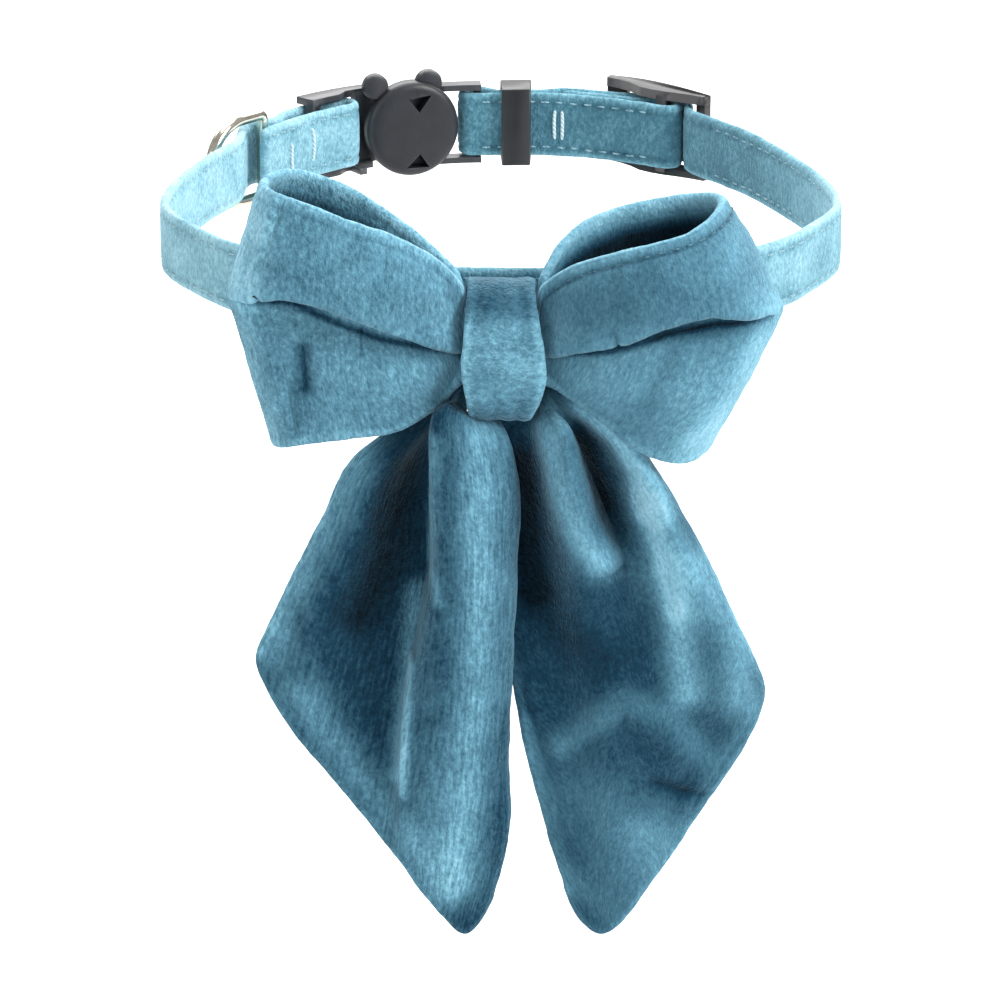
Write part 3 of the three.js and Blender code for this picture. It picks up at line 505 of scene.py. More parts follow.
def metal_material():
    m, nt, bsdf = new_material("ring_metal")
    L = nt.links.new
    tc = node(nt, "ShaderNodeTexCoord")
    n = node(nt, "ShaderNodeTexNoise")
    n.inputs["Scale"].default_value = 700
    n.inputs["Detail"].default_value = 5
    L(tc.outputs["Object"], n.inputs[0])
    cr = ramp(nt, [(0.3, srgb(236, 230, 216)), (0.75, srgb(208, 200, 182))])
    L(n.outputs[0], cr.inputs[0])
    L(cr.outputs[0], bsdf.inputs["Base Color"])
    rr = node(nt, "ShaderNodeMapRange")
    rr.inputs["To Min"].default_value = 0.08
    rr.inputs["To Max"].default_value = 0.24
    L(n.outputs[0], rr.inputs[0])
    L(rr.outputs[0], bsdf.inputs["Roughness"])
    bsdf.inputs["Metallic"].default_value = 1
    bp = node(nt, "ShaderNodeBump")
    bp.inputs["Strength"].default_value = 0.08
    bp.inputs["Distance"].default_value = 0.0001
    L(n.outputs[0], bp.inputs["Height"])
    L(bp.outputs[0], bsdf.inputs["Normal"])
    return m


thread_pale = thread_material()
thread_tack = thread_material("thread_tack", (170, 206, 218), (236, 246, 248))
thread_bow = thread_dark()
ring_metal = metal_material()

# ---------------------------------------------------------------- cloth tables: columns of points from top edge to bottom edge, mm
LOOP_LEFT = [
    [[-1, -56.6, 2.7], [-1, -56.8, 0.9], [-1, -57, -1.3], [-1, -57.2, -3.5], [-1, -56.9, -4.3], [-1, -56.6, -5.2], [-1, -56.6, -6.8], [-1, -56.6, -8.4]],
    [[-4.6, -56.6, 2.1], [-4.6, -56.8, 0.9], [-4.6, -57, -1.3], [-4.6, -57.2, -3.5], [-4.6, -56.9, -4.3], [-4.6, -56.6, -5.2], [-4.6, -56.6, -6.8], [-4.6, -56.6, -8.4]],
    [[-5.89, -57, 5.87], [-5.96, -57.4, 2.77], [-6.1, -57.8, -0.46], [-6.11, -58, -3.35], [-6.12, -57, -3.24], [-6.13, -56.4, -4.83], [-6.27, -56.4, -6.95], [-6.69, -56, -9.77]],
    [[-9.4, -58.2, 9.69], [-9.66, -60, 6.2], [-9.93, -61.2, 2.38], [-10.07, -61.8, -1.33], [-9.84, -59.4, -0.82], [-10.27, -58.2, -3.43], [-9.89, -58, -7.43], [-9.26, -56.2, -12.54]],
    [[-14.42, -59.8, 12.78], [-14.79, -62.2, 9.06], [-15.18, -63.8, 5.11], [-15.46, -64.6, 1.47], [-15.26, -61.4, 2.31], [-15.85, -60, -1.19], [-15.62, -60.4, -6.95], [-14.64, -58.6, -14.74]],
    [[-20.61, -60.6, 15.21], [-21.11, -63, 11.49], [-21.5, -64.6, 7.56], [-21.77, -65.4, 4.21], [-21.61, -61.8, 5.06], [-22.23, -60.4, 1.17], [-22.03, -61, -6.48], [-20.81, -60, -15.13]],
    [[-26.57, -60, 17.52], [-27.32, -62.4, 13.66], [-28.1, -64.2, 9.78], [-28.64, -65, 6.02], [-28.51, -61.6, 6.67], [-29.01, -60.4, 2.98], [-27.4, -60.6, -6.19], [-26.2, -60, -15.84]],
    [[-30.2, -58.4, 18.45], [-31.25, -60.2, 14.41], [-32.18, -61.6, 9.85], [-33.14, -62.6, 5.03], [-33.09, -60.6, 5.68], [-33.17, -60, 2.86], [-30.78, -59.8, -6.16], [-28.81, -59.2, -16.53]],
    [[-31.52, -55.6, 18.92], [-32.9, -56, 14.88], [-34.29, -56.4, 10.01], [-35.97, -57, 4.47], [-35.86, -56.6, 4.07], [-35.89, -56.4, 3.03], [-33.23, -56.4, -6.81], [-30.29, -56.4, -17.32]],
    [[-30.34, -52, 19.32], [-32.01, -52, 14.88], [-33.44, -52, 9.72], [-34.74, -52.2, 4.17], [-34.62, -52.2, 3.32], [-34.5, -52.2, 2.34], [-32.34, -52.6, -7.44], [-29.49, -53, -17.87]],
    [[-26.96, -49.4, 18.89], [-28.66, -49, 14.04], [-29.81, -49, 9], [-30.42, -49.2, 3.71], [-30.44, -49.3, 2.32], [-30.45, -49.4, 0.94], [-28.64, -50.2, -7.62], [-26.55, -51.2, -17.32]],
    [[-20.94, -49, 16.69], [-21.94, -48.6, 12.53], [-22.53, -48.6, 8.04], [-22.84, -49, 3.36], [-22.85, -49.2, 2.01], [-22.86, -49.4, 0.66], [-22.1, -50.4, -6.7], [-20.79, -51.6, -16.04]],
    [[-14.61, -50.2, 13.12], [-15.18, -50.2, 9.62], [-15.48, -50.3, 5.72], [-15.77, -50.6, 1.72], [-15.78, -50.8, 0.51], [-15.78, -51, -0.7], [-14.99, -51.8, -6.27], [-13.66, -52.8, -13.36]],
    [[-9.49, -52, 9.3], [-9.77, -52.2, 6.83], [-10.05, -52.4, 3.81], [-10.2, -52.6, 0.49], [-10.2, -52.7, -0.61], [-10.21, -52.8, -1.71], [-9.81, -53.2, -5.26], [-9.02, -53.6, -9.96]],
    [[-6.12, -53.6, 6.12], [-6.13, -53.8, 3.66], [-6.13, -53.9, 1.16], [-6.14, -54, -1.34], [-6.14, -54, -2.19], [-6.14, -54, -3.04], [-6.29, -54, -5.02], [-6.43, -54, -7.14]],
    [[-4.6, -54.2, 2], [-4.6, -54.2, 1.2], [-4.6, -54.2, -0.8], [-4.6, -54.2, -3], [-4.6, -54.2, -4], [-4.6, -54.2, -5], [-4.6, -54.2, -6.6], [-4.6, -54.2, -8.2]],
    [[-1, -54.2, 2.7], [-1, -54.2, 1.2], [-1, -54.2, -0.8], [-1, -54.2, -3], [-1, -54.2, -4], [-1, -54.2, -5], [-1, -54.2, -6.6], [-1, -54.2, -8.2]],
]
LOOP_RIGHT = [
    [[1, -56.6, 2.7], [1, -56.8, 0.9], [1, -57, -1.3], [1, -57.2, -3.5], [1, -56.9, -4.3], [1, -56.6, -5.2], [1, -56.6, -6.8], [1, -56.6, -8.4]],
    [[4.7, -56.6, 2.1], [4.7, -56.8, 0.9], [4.7, -57, -1.3], [4.7, -57.2, -3.5], [4.7, -56.9, -4.3], [4.7, -56.6, -5.2], [4.7, -56.6, -6.8], [4.7, -56.6, -8.4]],
    [[6.23, -57, 5.45], [6.5, -57.4, 2.21], [6.78, -57.8, -1.03], [6.92, -58, -4.05], [6.93, -57, -3.8], [6.94, -56.4, -5.4], [6.94, -56.4, -7.09], [6.96, -56, -9.2]],
    [[10.2, -59, 8.54], [10.45, -60.8, 5.18], [10.72, -61.8, 1.59], [10.87, -62.2, -2.19], [10.64, -59.6, -1.73], [10.95, -58.2, -4.27], [10.7, -58, -7.43], [10.34, -56.2, -11.26]],
    [[15.33, -61, 10.78], [15.71, -63, 7.22], [16.11, -64.4, 3.49], [16.52, -65, -0.35], [16.2, -61.6, 0.28], [16.53, -60.2, -3.09], [15.5, -60, -8.21], [14.24, -58.2, -13.74]],
    [[20.33, -62, 12.31], [20.83, -64, 9.31], [21.36, -65.4, 6], [21.91, -66, 2.18], [21.75, -62.2, 2.96], [22.11, -60.8, -0.94], [20.58, -61, -8.45], [18.28, -59.4, -16.75]],
    [[24.58, -61.4, 13.51], [25.61, -63.4, 10.37], [26.66, -64.8, 6.93], [27.74, -65.4, 3.52], [27.6, -62, 4.29], [27.97, -60.8, 0.45], [25.94, -61.2, -8.95], [22.05, -60, -18.26]],
    [[27.57, -59, 14.76], [29.41, -60.8, 11.27], [31.13, -62.2, 7.54], [32.89, -63, 2.79], [32.72, -60.8, 3.52], [33.07, -60, 0.63], [30.01, -60, -9.05], [25.04, -59.6, -18.53]],
    [[29.47, -54.6, 16.02], [32.18, -55.2, 12.16], [34.63, -55.8, 7.6], [37.1, -56.6, 2.39], [36.99, -56.2, 1.99], [37.16, -56, 0.95], [33.12, -56.2, -7.86], [27.44, -56.8, -18.04]],
    [[28.7, -50.6, 15.88], [31.17, -50.8, 12.31], [33.39, -51, 7.61], [35.62, -51.4, 2.38], [35.5, -51.4, 1.68], [35.37, -51.5, 0.72], [31.96, -52.2, -8.13], [26.9, -53.2, -18.67]],
    [[25.57, -48.2, 15.22], [27.25, -48, 10.96], [28.94, -48, 6.46], [30.08, -48.4, 1.77], [30.09, -48.5, 0.53], [29.97, -48.6, -0.72], [27.72, -49.8, -8.6], [23.97, -51.4, -18.69]],
    [[20.73, -47.8, 14.55], [21.59, -47.6, 10.28], [22.18, -47.6, 6.06], [22.76, -48, 1.94], [22.63, -48.2, 0.72], [22.5, -48.4, -0.49], [21.18, -49.8, -8.03], [19.03, -51.6, -17.19]],
    [[15.58, -49, 13.62], [16.02, -49, 9.56], [16.31, -49.2, 5.96], [16.47, -49.6, 2.13], [16.47, -49.8, 1.06], [16.34, -50, -0.01], [15.68, -51.2, -6.45], [14.62, -52.6, -13.71]],
    [[10.3, -51, 11.53], [10.45, -51.4, 8], [10.59, -51.8, 4.75], [10.74, -52.2, 1.49], [10.74, -52.3, 0.54], [10.75, -52.4, -0.42], [10.49, -53, -4.76], [10.1, -53.6, -10.25]],
    [[6.66, -53.2, 7.41], [6.53, -53.6, 4.72], [6.54, -53.8, 1.69], [6.54, -54, -1.06], [6.55, -54, -1.91], [6.55, -54, -2.75], [6.55, -54, -4.73], [6.56, -54, -7.14]],
    [[4.7, -54.2, 2], [4.7, -54.2, 1.2], [4.7, -54.2, -0.8], [4.7, -54.2, -3], [4.7, -54.2, -4], [4.7, -54.2, -5], [4.7, -54.2, -6.6], [4.7, -54.2, -8.2]],
    [[1, -54.2, 2.7], [1, -54.2, 1.2], [1, -54.2, -0.8], [1, -54.2, -3], [1, -54.2, -4], [1, -54.2, -5], [1, -54.2, -6.6], [1, -54.2, -8.2]],
]
TAIL_LEFT = [
    [[-1.2, -52.1, -7.6], [-4.7, -52.3, -8.4], [-8.09, -53, -13.43], [-12.99, -53.2, -15.51], [-20.23, -54, -20.84], [-23.99, -54, -28.34], [-27.81, -53.5, -35.93], [-30.8, -53, -42.11], [-33.22, -53, -46.97], [-34.17, -53, -50.22]],
    [[-1.2, -52.1, -8.12], [-4.7, -52.3, -8.86], [-7.54, -53.2, -13.37], [-11.48, -54.2, -15.76], [-17.19, -56, -21.6], [-20.26, -56.2, -30.03], [-23.38, -55.4, -38.74], [-25.97, -54.6, -46.37], [-27.75, -54, -53.98], [-28.96, -53.5, -59.69]],
    [[-1.2, -52.1, -8.55], [-4.7, -52.3, -9.25], [-6.99, -53.4, -12.88], [-10, -53.4, -15.88], [-13.74, -52.6, -23.91], [-15.32, -52.2, -34.06], [-17.32, -52.2, -43.14], [-19.47, -52.6, -52.3], [-21.48, -53, -60.33], [-23.09, -53, -67.53]],
    [[-1.2, -52.1, -8.98], [-4.7, -52.3, -9.64], [-6.45, -53.8, -12.75], [-8.37, -53, -16.01], [-9.12, -50.4, -25.38], [-9.72, -50.4, -36.16], [-11.56, -51.2, -46.17], [-13.68, -52.4, -56.09], [-15.4, -53, -65.88], [-17.15, -53, -75.39]],
    [[-1.2, -52.1, -9.41], [-4.7, -52.3, -10.02], [-6.17, -54.8, -12.57], [-8.98, -57.8, -13.44], [-9.27, -58.8, -21.8], [-8.92, -58.4, -33.3], [-10.35, -57.2, -43.92], [-11.81, -56.2, -55.35], [-13, -55.2, -67.53], [-13.66, -54, -79.67]],
    [[-1.2, -52.1, -9.93], [-4.7, -52.3, -10.49], [-5.76, -55.2, -12.3], [-7.33, -60, -12.3], [-7.21, -61.2, -21.27], [-6.99, -60.8, -32.58], [-7.86, -59.4, -44.27], [-8.89, -57.8, -56.35], [-9.94, -56, -69.91], [-10.74, -54, -84.24]],
    [[-1.2, -52.1, -10.36], [-4.7, -52.3, -10.87], [-5.35, -55.2, -13.01], [-4.64, -59.8, -13.78], [-3.31, -60.6, -21.9], [-3.19, -60, -33.16], [-3.9, -58.6, -45.3], [-4.76, -57.2, -58.37], [-5.64, -55.6, -72.78], [-7.95, -54, -87.91]],
    [[-1.2, -52.1, -10.88], [-4.7, -52.3, -11.34], [-4.95, -54.8, -13.28], [-1.96, -58, -15.51], [0.47, -58.4, -23.22], [0.34, -57.8, -34.53], [-0.21, -56.4, -47.6], [-0.9, -55.4, -61.62], [-1.75, -54.6, -75.92], [-5, -54, -90.52]],
    [[-1.2, -52.1, -11.4], [-4.7, -52.3, -11.8], [-4.95, -54, -13.82], [-0.88, -55.2, -17.22], [2.25, -55, -24.96], [1.78, -54.4, -36.33], [1.45, -53.8, -49.62], [0.9, -53.5, -63.13], [1.05, -53.5, -74.87], [-1.62, -53.6, -86.71]],
]
TAIL_RIGHT = [
    [[1.2, -52.1, -11.4], [4.7, -52.3, -11.8], [4.55, -53.2, -13.66], [0.34, -51.4, -17.83], [-0.21, -49.8, -24.13], [0.21, -49.6, -30.6], [0.76, -49.8, -37.84], [1.18, -50.6, -49.35], [2.99, -52, -61.03], [6.51, -53, -74.78], [10.19, -54, -86.69]],
    [[1.2, -52.1, -10.8], [4.7, -52.3, -11.26], [5.77, -53.8, -13.6], [4.96, -54, -17.26], [5.4, -53, -23.63], [6.11, -52, -30.05], [6.82, -51.6, -37.49], [7.68, -52, -48.82], [9.38, -53, -60.33], [10.83, -54, -74.06], [13.59, -54, -90.37]],
    [[1.2, -52.1, -10.28], [4.7, -52.3, -10.8], [6.17, -54.8, -13.14], [6.95, -59, -15.18], [8.04, -60, -20.82], [9.29, -59.2, -27.11], [10.72, -57.2, -34.6], [12.33, -55.2, -46.88], [14.06, -55, -58.35], [15.68, -55, -71.83], [16.68, -54, -88.83]],
    [[1.2, -52.1, -9.67], [4.7, -52.3, -10.25], [6.57, -55.2, -12.87], [8.96, -59.6, -14.84], [10.32, -60.4, -20.26], [11.86, -59.4, -26.32], [14.11, -57.6, -33.01], [16.14, -56.2, -44.59], [18.16, -56, -55.43], [20.11, -55, -67.77], [20.98, -54, -82.56]],
    [[1.2, -52.1, -9.15], [4.7, -52.3, -9.79], [6.98, -54.6, -13.06], [10.13, -54, -17.4], [12.39, -51.8, -24.03], [14.48, -51.8, -29.4], [16.63, -55, -33.93], [19.82, -56.6, -42.98], [22.27, -56.4, -53.05], [24.26, -54.5, -64.52], [24.58, -53.5, -77.3]],
    [[1.2, -52.1, -8.64], [4.7, -52.3, -9.33], [7.39, -54.2, -13.05], [12.15, -54.8, -16.56], [16.01, -54.2, -22.35], [18.62, -55.2, -27.49], [20.66, -57.2, -32.71], [23.74, -58, -41.29], [26.35, -57, -50.61], [28.4, -54, -61.13], [28.71, -53, -70.7]],
    [[1.2, -52.1, -8.12], [4.7, -52.3, -8.86], [7.8, -53.8, -12.61], [13.99, -57.2, -14.63], [19.27, -59, -20.02], [22.15, -59.6, -25.96], [24.66, -59.6, -31.86], [28.35, -58.8, -40.7], [31.27, -57, -48.4], [33.47, -54, -56.51], [33.61, -53, -62.43]],
    [[1.2, -52.1, -7.6], [4.7, -52.3, -8.4], [8.35, -53.2, -12.51], [15.38, -55.4, -13.94], [21.41, -56, -22.03], [24.88, -55.8, -28.15], [27.84, -55.4, -33.79], [31.85, -54.5, -42.73], [34.47, -53.5, -48.55], [36.26, -52.5, -53.23], [36.68, -52, -56.25]],
]

# pile tone and painted light and shade: soft marks as (path of (x, z), width, amount), pale marks partly painted
# highlights, dark marks partly painted shade in dimples, creases and recesses; relief the same, with depth in mm
STROKES_LL = [
    ([(-31.0, 20.3), (-32.9, 13.0), (-34.1, 5.8)], 2.43, 0.32),
    ([(-34.4, 2.7), (-32.5, -7.1), (-30.2, -15.6)], 1.62, 0.12),
    ([(-9.4, 8.3), (-6.1, 4.1)], 4.05, 0.0),
    ([(-22.7, 12.4)], 4.59, -0.05),
    ([(-26.4, -2.4), (-26.1, -7.9)], 1.22, -0.42),
    ([(-27.0, -11.3)], 2.16, -0.1),
    ([(-27.8, -7.1), (-27.0, -13.4)], 0.81, -0.08),
    ([(-18.6, 0.2), (-18.8, -3.0)], 0.41, -0.1),
    ([(-24.8, -2.9), (-20.8, -4.3)], 2.7, 0.05),
    ([(-8.1, -9.2), (-13.5, -13.4)], 2.97, -0.02),
    ([(-13.5, -6.4), (-6.8, -6.0)], 1.89, 0.06),
]
STROKES_LR = [
    ([(9.3, 4.1), (21.2, 6.9)], 4.32, -0.1),
    ([(19.9, 12.4), (25.1, 14.5)], 2.7, -0.04),
    ([(30.2, 13.1), (34.9, 4.1)], 2.7, 0.05),
    ([(13.3, -7.1), (24.1, -6.0)], 5.41, 0.1),
    ([(36.3, 1.0), (31.9, -8.8), (27.2, -17.3)], 2.7, 0.34),
    ([(25.5, -15.6)], 3.51, 0.16),
    ([(15.4, 1.0), (15.7, -2.0)], 0.41, -0.12),
    ([(21.3, -0.4), (35.3, 0.6)], 1.35, -0.16),
    ([(22.4, -3.6), (19.8, -9.9)], 1.35, -0.07),
    ([(18.7, -10.6)], 3.38, -0.05),
    ([(9.3, -11.3), (16.1, -15.6)], 1.89, -0.05),
]
CREASE_L = [
    ([(-34.3, 4.5), (-31.0, 4.5), (-27.8, 4.2), (-22.8, 1.7), (-16.1, -1.1), (-5.4, -4.0)], 0.62, -0.46),
]
CREASE_R = [
    ([(6.6, -4.1), (15.3, -2.7), (19.3, -1.2), (23.3, 0.2), (28.7, 1.3), (35.7, 1.7)], 0.62, -0.46),
]
STROKES_TL = [
    ([(-3.0, -14.7), (-2.8, -40.0), (-4.2, -62.1), (-6.4, -81.7)], 3.51, 0.44),
    ([(0.6, -16.9), (1.6, -34.2), (1.0, -54.7)], 1.35, 0.1),
    ([(-8.6, -15.5), (-9.1, -33.4), (-8.2, -38.8)], 0.95, 0.3),
    ([(-13.0, -21.2), (-15.8, -33.4), (-19.0, -42.9)], 3.24, -0.15),
    ([(-18.2, -16.9), (-23.9, -28.4), (-29.1, -40.3), (-32.0, -48.0)], 3.11, 0.42),
    ([(-12.1, -40.0), (-13.0, -53.2), (-14.1, -66.6)], 1.49, 0.34),
    ([(-11.5, -49.5), (-13.3, -68.9)], 0.43, 0.3),
    ([(-28.8, -54.7), (-16.8, -71.1), (-7.8, -84.0)], 3.24, 0.3),
    ([(-6.4, -77.1)], 6.08, 0.08),
    ([(-27.6, -48.0), (-25.2, -56.9)], 2.16, 0.12),
    ([(-9.8, -60.6), (-11.2, -74.1)], 3.24, 0.16),
    ([(-10.4, -40.0), (-10.0, -54.7)], 1.62, 0.12),
]
STROKES_TR = [
    ([(7.0, -14.0), (8.5, -22.6), (10.6, -29.1), (13.6, -34.2)], 2.3, 0.46),
    ([(10.8, -15.7), (13.3, -22.6), (14.5, -27.6)], 1.62, -0.25),
    ([(11.2, -11.9), (15.9, -15.0), (18.8, -20.3), (20.6, -26.9)], 2.16, 0.62),
    ([(20.2, -25.2), (22.9, -33.4), (24.4, -41.4), (25.6, -53.2)], 2.7, 0.44),
    ([(22.3, -31.3), (24.1, -40.7)], 1.76, 0.28),
    ([(27.3, -34.2), (32.7, -45.8), (33.3, -54.7)], 3.51, 0.4),
    ([(14.3, -33.4), (19.1, -36.3)], 2.7, 0.12),
    ([(3.2, -21.2), (4.0, -34.2), (4.9, -40.0)], 2.43, -0.26),
    ([(6.1, -42.9), (13.7, -48.8)], 3.51, -0.08),
    ([(21.6, -67.4), (27.7, -69.9)], 1.22, -0.14),
    ([(8.5, -62.4), (17.2, -54.7), (22.7, -56.5), (28.4, -63.6)], 2.16, 0.2),
    ([(12.4, -69.6), (19.4, -74.1)], 5.41, 0.2),
    ([(13.9, -83.2), (20.9, -77.1)], 4.86, 0.18),
    ([(35.5, -57.4), (26.4, -73.1), (16.2, -88.4)], 1.62, 0.16),
    ([(3.3, -59.4), (9.9, -84.0)], 1.08, 0.14),
]
LEFT_RELIEF = [
    ([(-26.4, -2.2), (-26.1, -7.4)], 1.22, -0.7, 'front'),
    ([(-28.4, 18.5), (-30.9, 11.0), (-32.5, 5.8)], 0.68, -0.34, 'front'),
    ([(-30.4, 19.3), (-32.6, 11.7), (-33.8, 6.2)], 0.61, -0.26, 'front'),
    ([(-30.8, 2.4), (-29.1, -4.3), (-27.5, -14.1)], 0.54, -0.22, 'front'),
    ([(-18.6, 0.5), (-18.8, -3.2)], 0.41, -0.35, 'front'),
    ([(-20.8, -6.0), (-20.0, -12.7)], 0.68, -0.25, 'front'),
    ([(-21.5, -7.8), (-10.8, -6.4)], 2.97, 0.35, 'front'),
    ([(-24.0, 11.0), (-13.4, 6.2)], 3.51, 0.25, 'front'),
]
RIGHT_RELIEF = [
    ([(15.4, 1.0), (15.7, -2.0)], 0.41, -0.3, 'front'),
    ([(14.7, -7.8), (25.4, -7.1)], 3.24, 0.35, 'front'),
    ([(13.3, 4.8), (25.2, 9.4)], 2.7, 0.2, 'front'),
    ([(26.7, -2.2), (25.4, -7.1)], 1.08, -0.25, 'front'),
    ([(22.4, -2.9), (19.4, -9.9)], 1.35, -0.3, 'front'),
]
TAIL_LEFT_RELIEF = [
    ([(2.6, -21.2), (2.1, -42.9)], 0.81, 0.2),
    ([(-25.5, -42.9), (-27.7, -54.7)], 1.62, 0.3),
    ([(-20.6, -40.0), (-22.9, -57.7)], 1.89, -0.3),
    ([(-11.5, -49.5), (-13.3, -68.9)], 0.81, 0.5),
    ([(-6.6, -18.3), (-7.0, -54.7)], 0.54, -0.12),
    ([(-4.8, -18.3), (-5.3, -63.6)], 0.54, -0.12),
]
TAIL_RIGHT_RELIEF = [
    ([(14.4, -34.2), (16.6, -33.0)], 1.35, 0.3),
    ([(12.9, -36.2), (17.4, -35.0)], 0.47, -0.3),
    ([(13.6, -37.6), (17.0, -36.8)], 0.47, -0.25),
    ([(21.6, -67.4), (27.7, -69.9)], 1.08, -0.6),
    ([(8.5, -62.4), (17.2, -54.7), (27.7, -66.6)], 1.76, 0.5),
    ([(3.0, -54.7), (6.2, -64.7)], 0.81, -0.4),
    ([(21.0, -25.5), (24.3, -33.4), (26.1, -45.8)], 1.89, 0.3),
]

# light levels
WORLD, KEY, FILL, TOP, BACK = 0.40, 12.0, 2.5, 5.0, 12.0


# ---------------------------------------------------------------- the ring that the strap follows
RING = [
    (0.3, 48.9), (6.9, 48.9), (15.3, 46.2), (22.9, 41.8), (30.2, 35.4), (36.4, 26.2), (40.6, 17.4), (44.0, 8.2),
    (46.5, -0.6), (47.9, -9.5), (47.6, -16.0), (45.6, -21.6), (43.0, -26.8), (40.4, -31.5), (36.8, -36.0), (31, -40.6),
    (22.5, -44.4), (11.5, -46.9), (0, -47.7), (-11.5, -46.9), (-22.5, -44.2), (-31, -40.0), (-36.6, -35.4), (-40.4, -30.6),
    (-43.1, -26.0), (-45.9, -20.8), (-47.6, -15.4), (-47.8, -9.0), (-46.6, -1.0), (-44.2, 7.4), (-41.0, 16.2), (-36.4, 25.6),
    (-31.0, 33.6), (-25.6, 39.6), (-20.2, 43.6), (-13.8, 46.6), (-6.6, 48.4),
]
ring_ctl = np.array(RING, float)
ring_pts = spline_at(ring_ctl, np.arange(0, len(RING), 1 / 24), closed=True)
ring_s = np.concatenate([[0], np.cumsum(np.linalg.norm(np.diff(np.vstack([ring_pts, ring_pts[:1]]), axis=0), axis=1))])
RING_LEN = ring_s[-1]
ring_closed = np.vstack([ring_pts, ring_pts[:1]])


def ring_at(s):
    s = np.mod(s, RING_LEN)
    return np.stack([np.interp(s, ring_s, ring_closed[:, 0]), np.interp(s, ring_s, ring_closed[:, 1])], -1)


def ring_dirs(s):
    t = unit(ring_at(np.asarray(s, float) + 1.2) - ring_at(np.asarray(s, float) - 1.2))
    return t, np.stack([-t[..., 1], t[..., 0]], -1)


def sn(s, n):
    s = np.asarray(s, float)
    return ring_at(s) + ring_dirs(s)[1] * np.asarray(n, float)[..., None]


# ---------------------------------------------------------------- collar strap
ROUTE = [
    (258.9, 0), (262, 0), (266, 0), (270, 0), (274, 0), (278.0, 0), (279.7, 0.35), (280.5, 1.9), (279.7, 3.45),
    (278.0, 3.8), (274, 3.8), (270.6, 3.85), (268.5, 3.7), (266.5, 2.7), (264.3, 3.3), (261.8, 4.1), (259.2, 3.6), (256.4, 2.2),
    (253.6, 0.9), (250.6, 0.2), (247, 0), (243, 0),
] + [(238.5 - i * 4.85, 0) for i in range(41)] + [
    (40.5, 0), (37.5, 0.2), (34.4, 0.5), (31.6, 1.1), (29.6, 2.4), (28.3, 4.4), (26.6, 5.7), (24.4, 5.9), (22, 5.3), (19, 4.3), (15.5, 3.8),
    (12, 3.8), (9.0, 3.7), (7.0, 2.8), (5.2, 2.0), (2, 1.9), (-0.5, 1.95), (-1.9, 2.9), (-3.0, 3.75), (-4.1, 3.85), (-5.2, 3.5), (-6.0, 1.9), (-5.2, 0.3),
    (-3.2, 0), (0, 0), (4, 0), (8, 0), (12, 0), (16, 0), (20, 0), (23.4, 0.25), (25.4, 0.3), (27.0, 0.8), (27.6, 2.0), (27.0, 3.4),
    (25.2, 3.95), (22.9, 3.5), (20.4, 2.4), (18.2, 1.95), (14, 1.9), (8.9, 1.9),
]
route_ctl = np.array(ROUTE, float)
fine = spline_at(route_ctl, np.linspace(0, len(ROUTE) - 1, 6000))
fine_xy = sn(fine[:, 0], fine[:, 1])
fine_a = np.concatenate([[0], np.cumsum(np.linalg.norm(np.diff(fine_xy, axis=0), axis=1))])
STRAP_FLAT = fine_a[-1]                # the strip's length if it were unfolded
H_STRAP = 0.72


def strap_at(a):
    """plan point, direction along, outward side of the strip, and station, at arclength a."""
    p = np.stack([np.interp(a, fine_a, fine_xy[:, 0]), np.interp(a, fine_a, fine_xy[:, 1])], -1)
    q = np.stack([np.interp(a + 0.4, fine_a, fine_xy[:, 0]), np.interp(a + 0.4, fine_a, fine_xy[:, 1])], -1)
    r = np.stack([np.interp(a - 0.4, fine_a, fine_xy[:, 0]), np.interp(a - 0.4, fine_a, fine_xy[:, 1])], -1)
    t = unit(q - r)
    return p, t, np.stack([t[..., 1], -t[..., 0]], -1), np.interp(a, fine_a, fine[:, 0]), np.interp(a, fine_a, fine[:, 1])


na = int(STRAP_FLAT / 0.55)
A = np.linspace(H_STRAP, STRAP_FLAT - H_STRAP, na)
Z = np.concatenate([[-5 + H_STRAP * 0.9], np.linspace(-3.95, 3.95, 19), [5 - H_STRAP * 0.9]])
p, t, side, stat, off = strap_at(A)
wave = 0.10 * value_noise(np.stack([A, A * 0, A * 0], -1), 14, 5)
mid = np.zeros((na, len(Z), 3))
mid[..., :2] = p[:, None, :]
mid[..., 2] = Z[None, :] + wave[:, None]
half = H_STRAP - 0.16 * (gauss(np.abs(Z), 3.55, 0.42))[None, :] - 0.10 * (np.abs(Z) > 4.1)[None, :] + 0 * A[:, None]
# painted light and shade along the ring for the inner and outer faces: paler where a face turns to the key light on the
# right, darker where it turns away
SP = [0, 30, 45, 62, 80, 92, 108, 125, 150, 178, 192, 205, 216, 228, 240, 258, 268, 282, 303.6]
T_IN = [0.45, 0.45, 0.46, 0.56, 0.76, 0.78, 0.72, 0.5, 0.45, 0.55, 0.62, 0.70, 0.75, 0.78, 0.76, 0.75, 0.68, 0.66, 0.45]
T_OUT = [0.5, 0.5, 0.5, 0.6, 0.66, 0.66, 0.68, 0.66, 0.56, 0.6, 0.68, 0.70, 0.74, 0.74, 0.68, 0.64, 0.56, 0.56, 0.5]
out_dir = ring_dirs(stat)[1]
facing = np.einsum("ij,ij->i", side, out_dir)
s_mod = np.mod(stat, RING_LEN)
t_in, t_out = np.interp(s_mod, SP, T_IN), np.interp(s_mod, SP, T_OUT)
t_side = np.where(facing > 0, t_out, t_in)          # the side that the strip's own normal points to
t_other = np.where(facing > 0, t_in, t_out)
# painted highlight on the puffed band along both edges of the strip
edge_highlight = 0.10 * gauss(np.abs(Z), 4.6, 0.5)
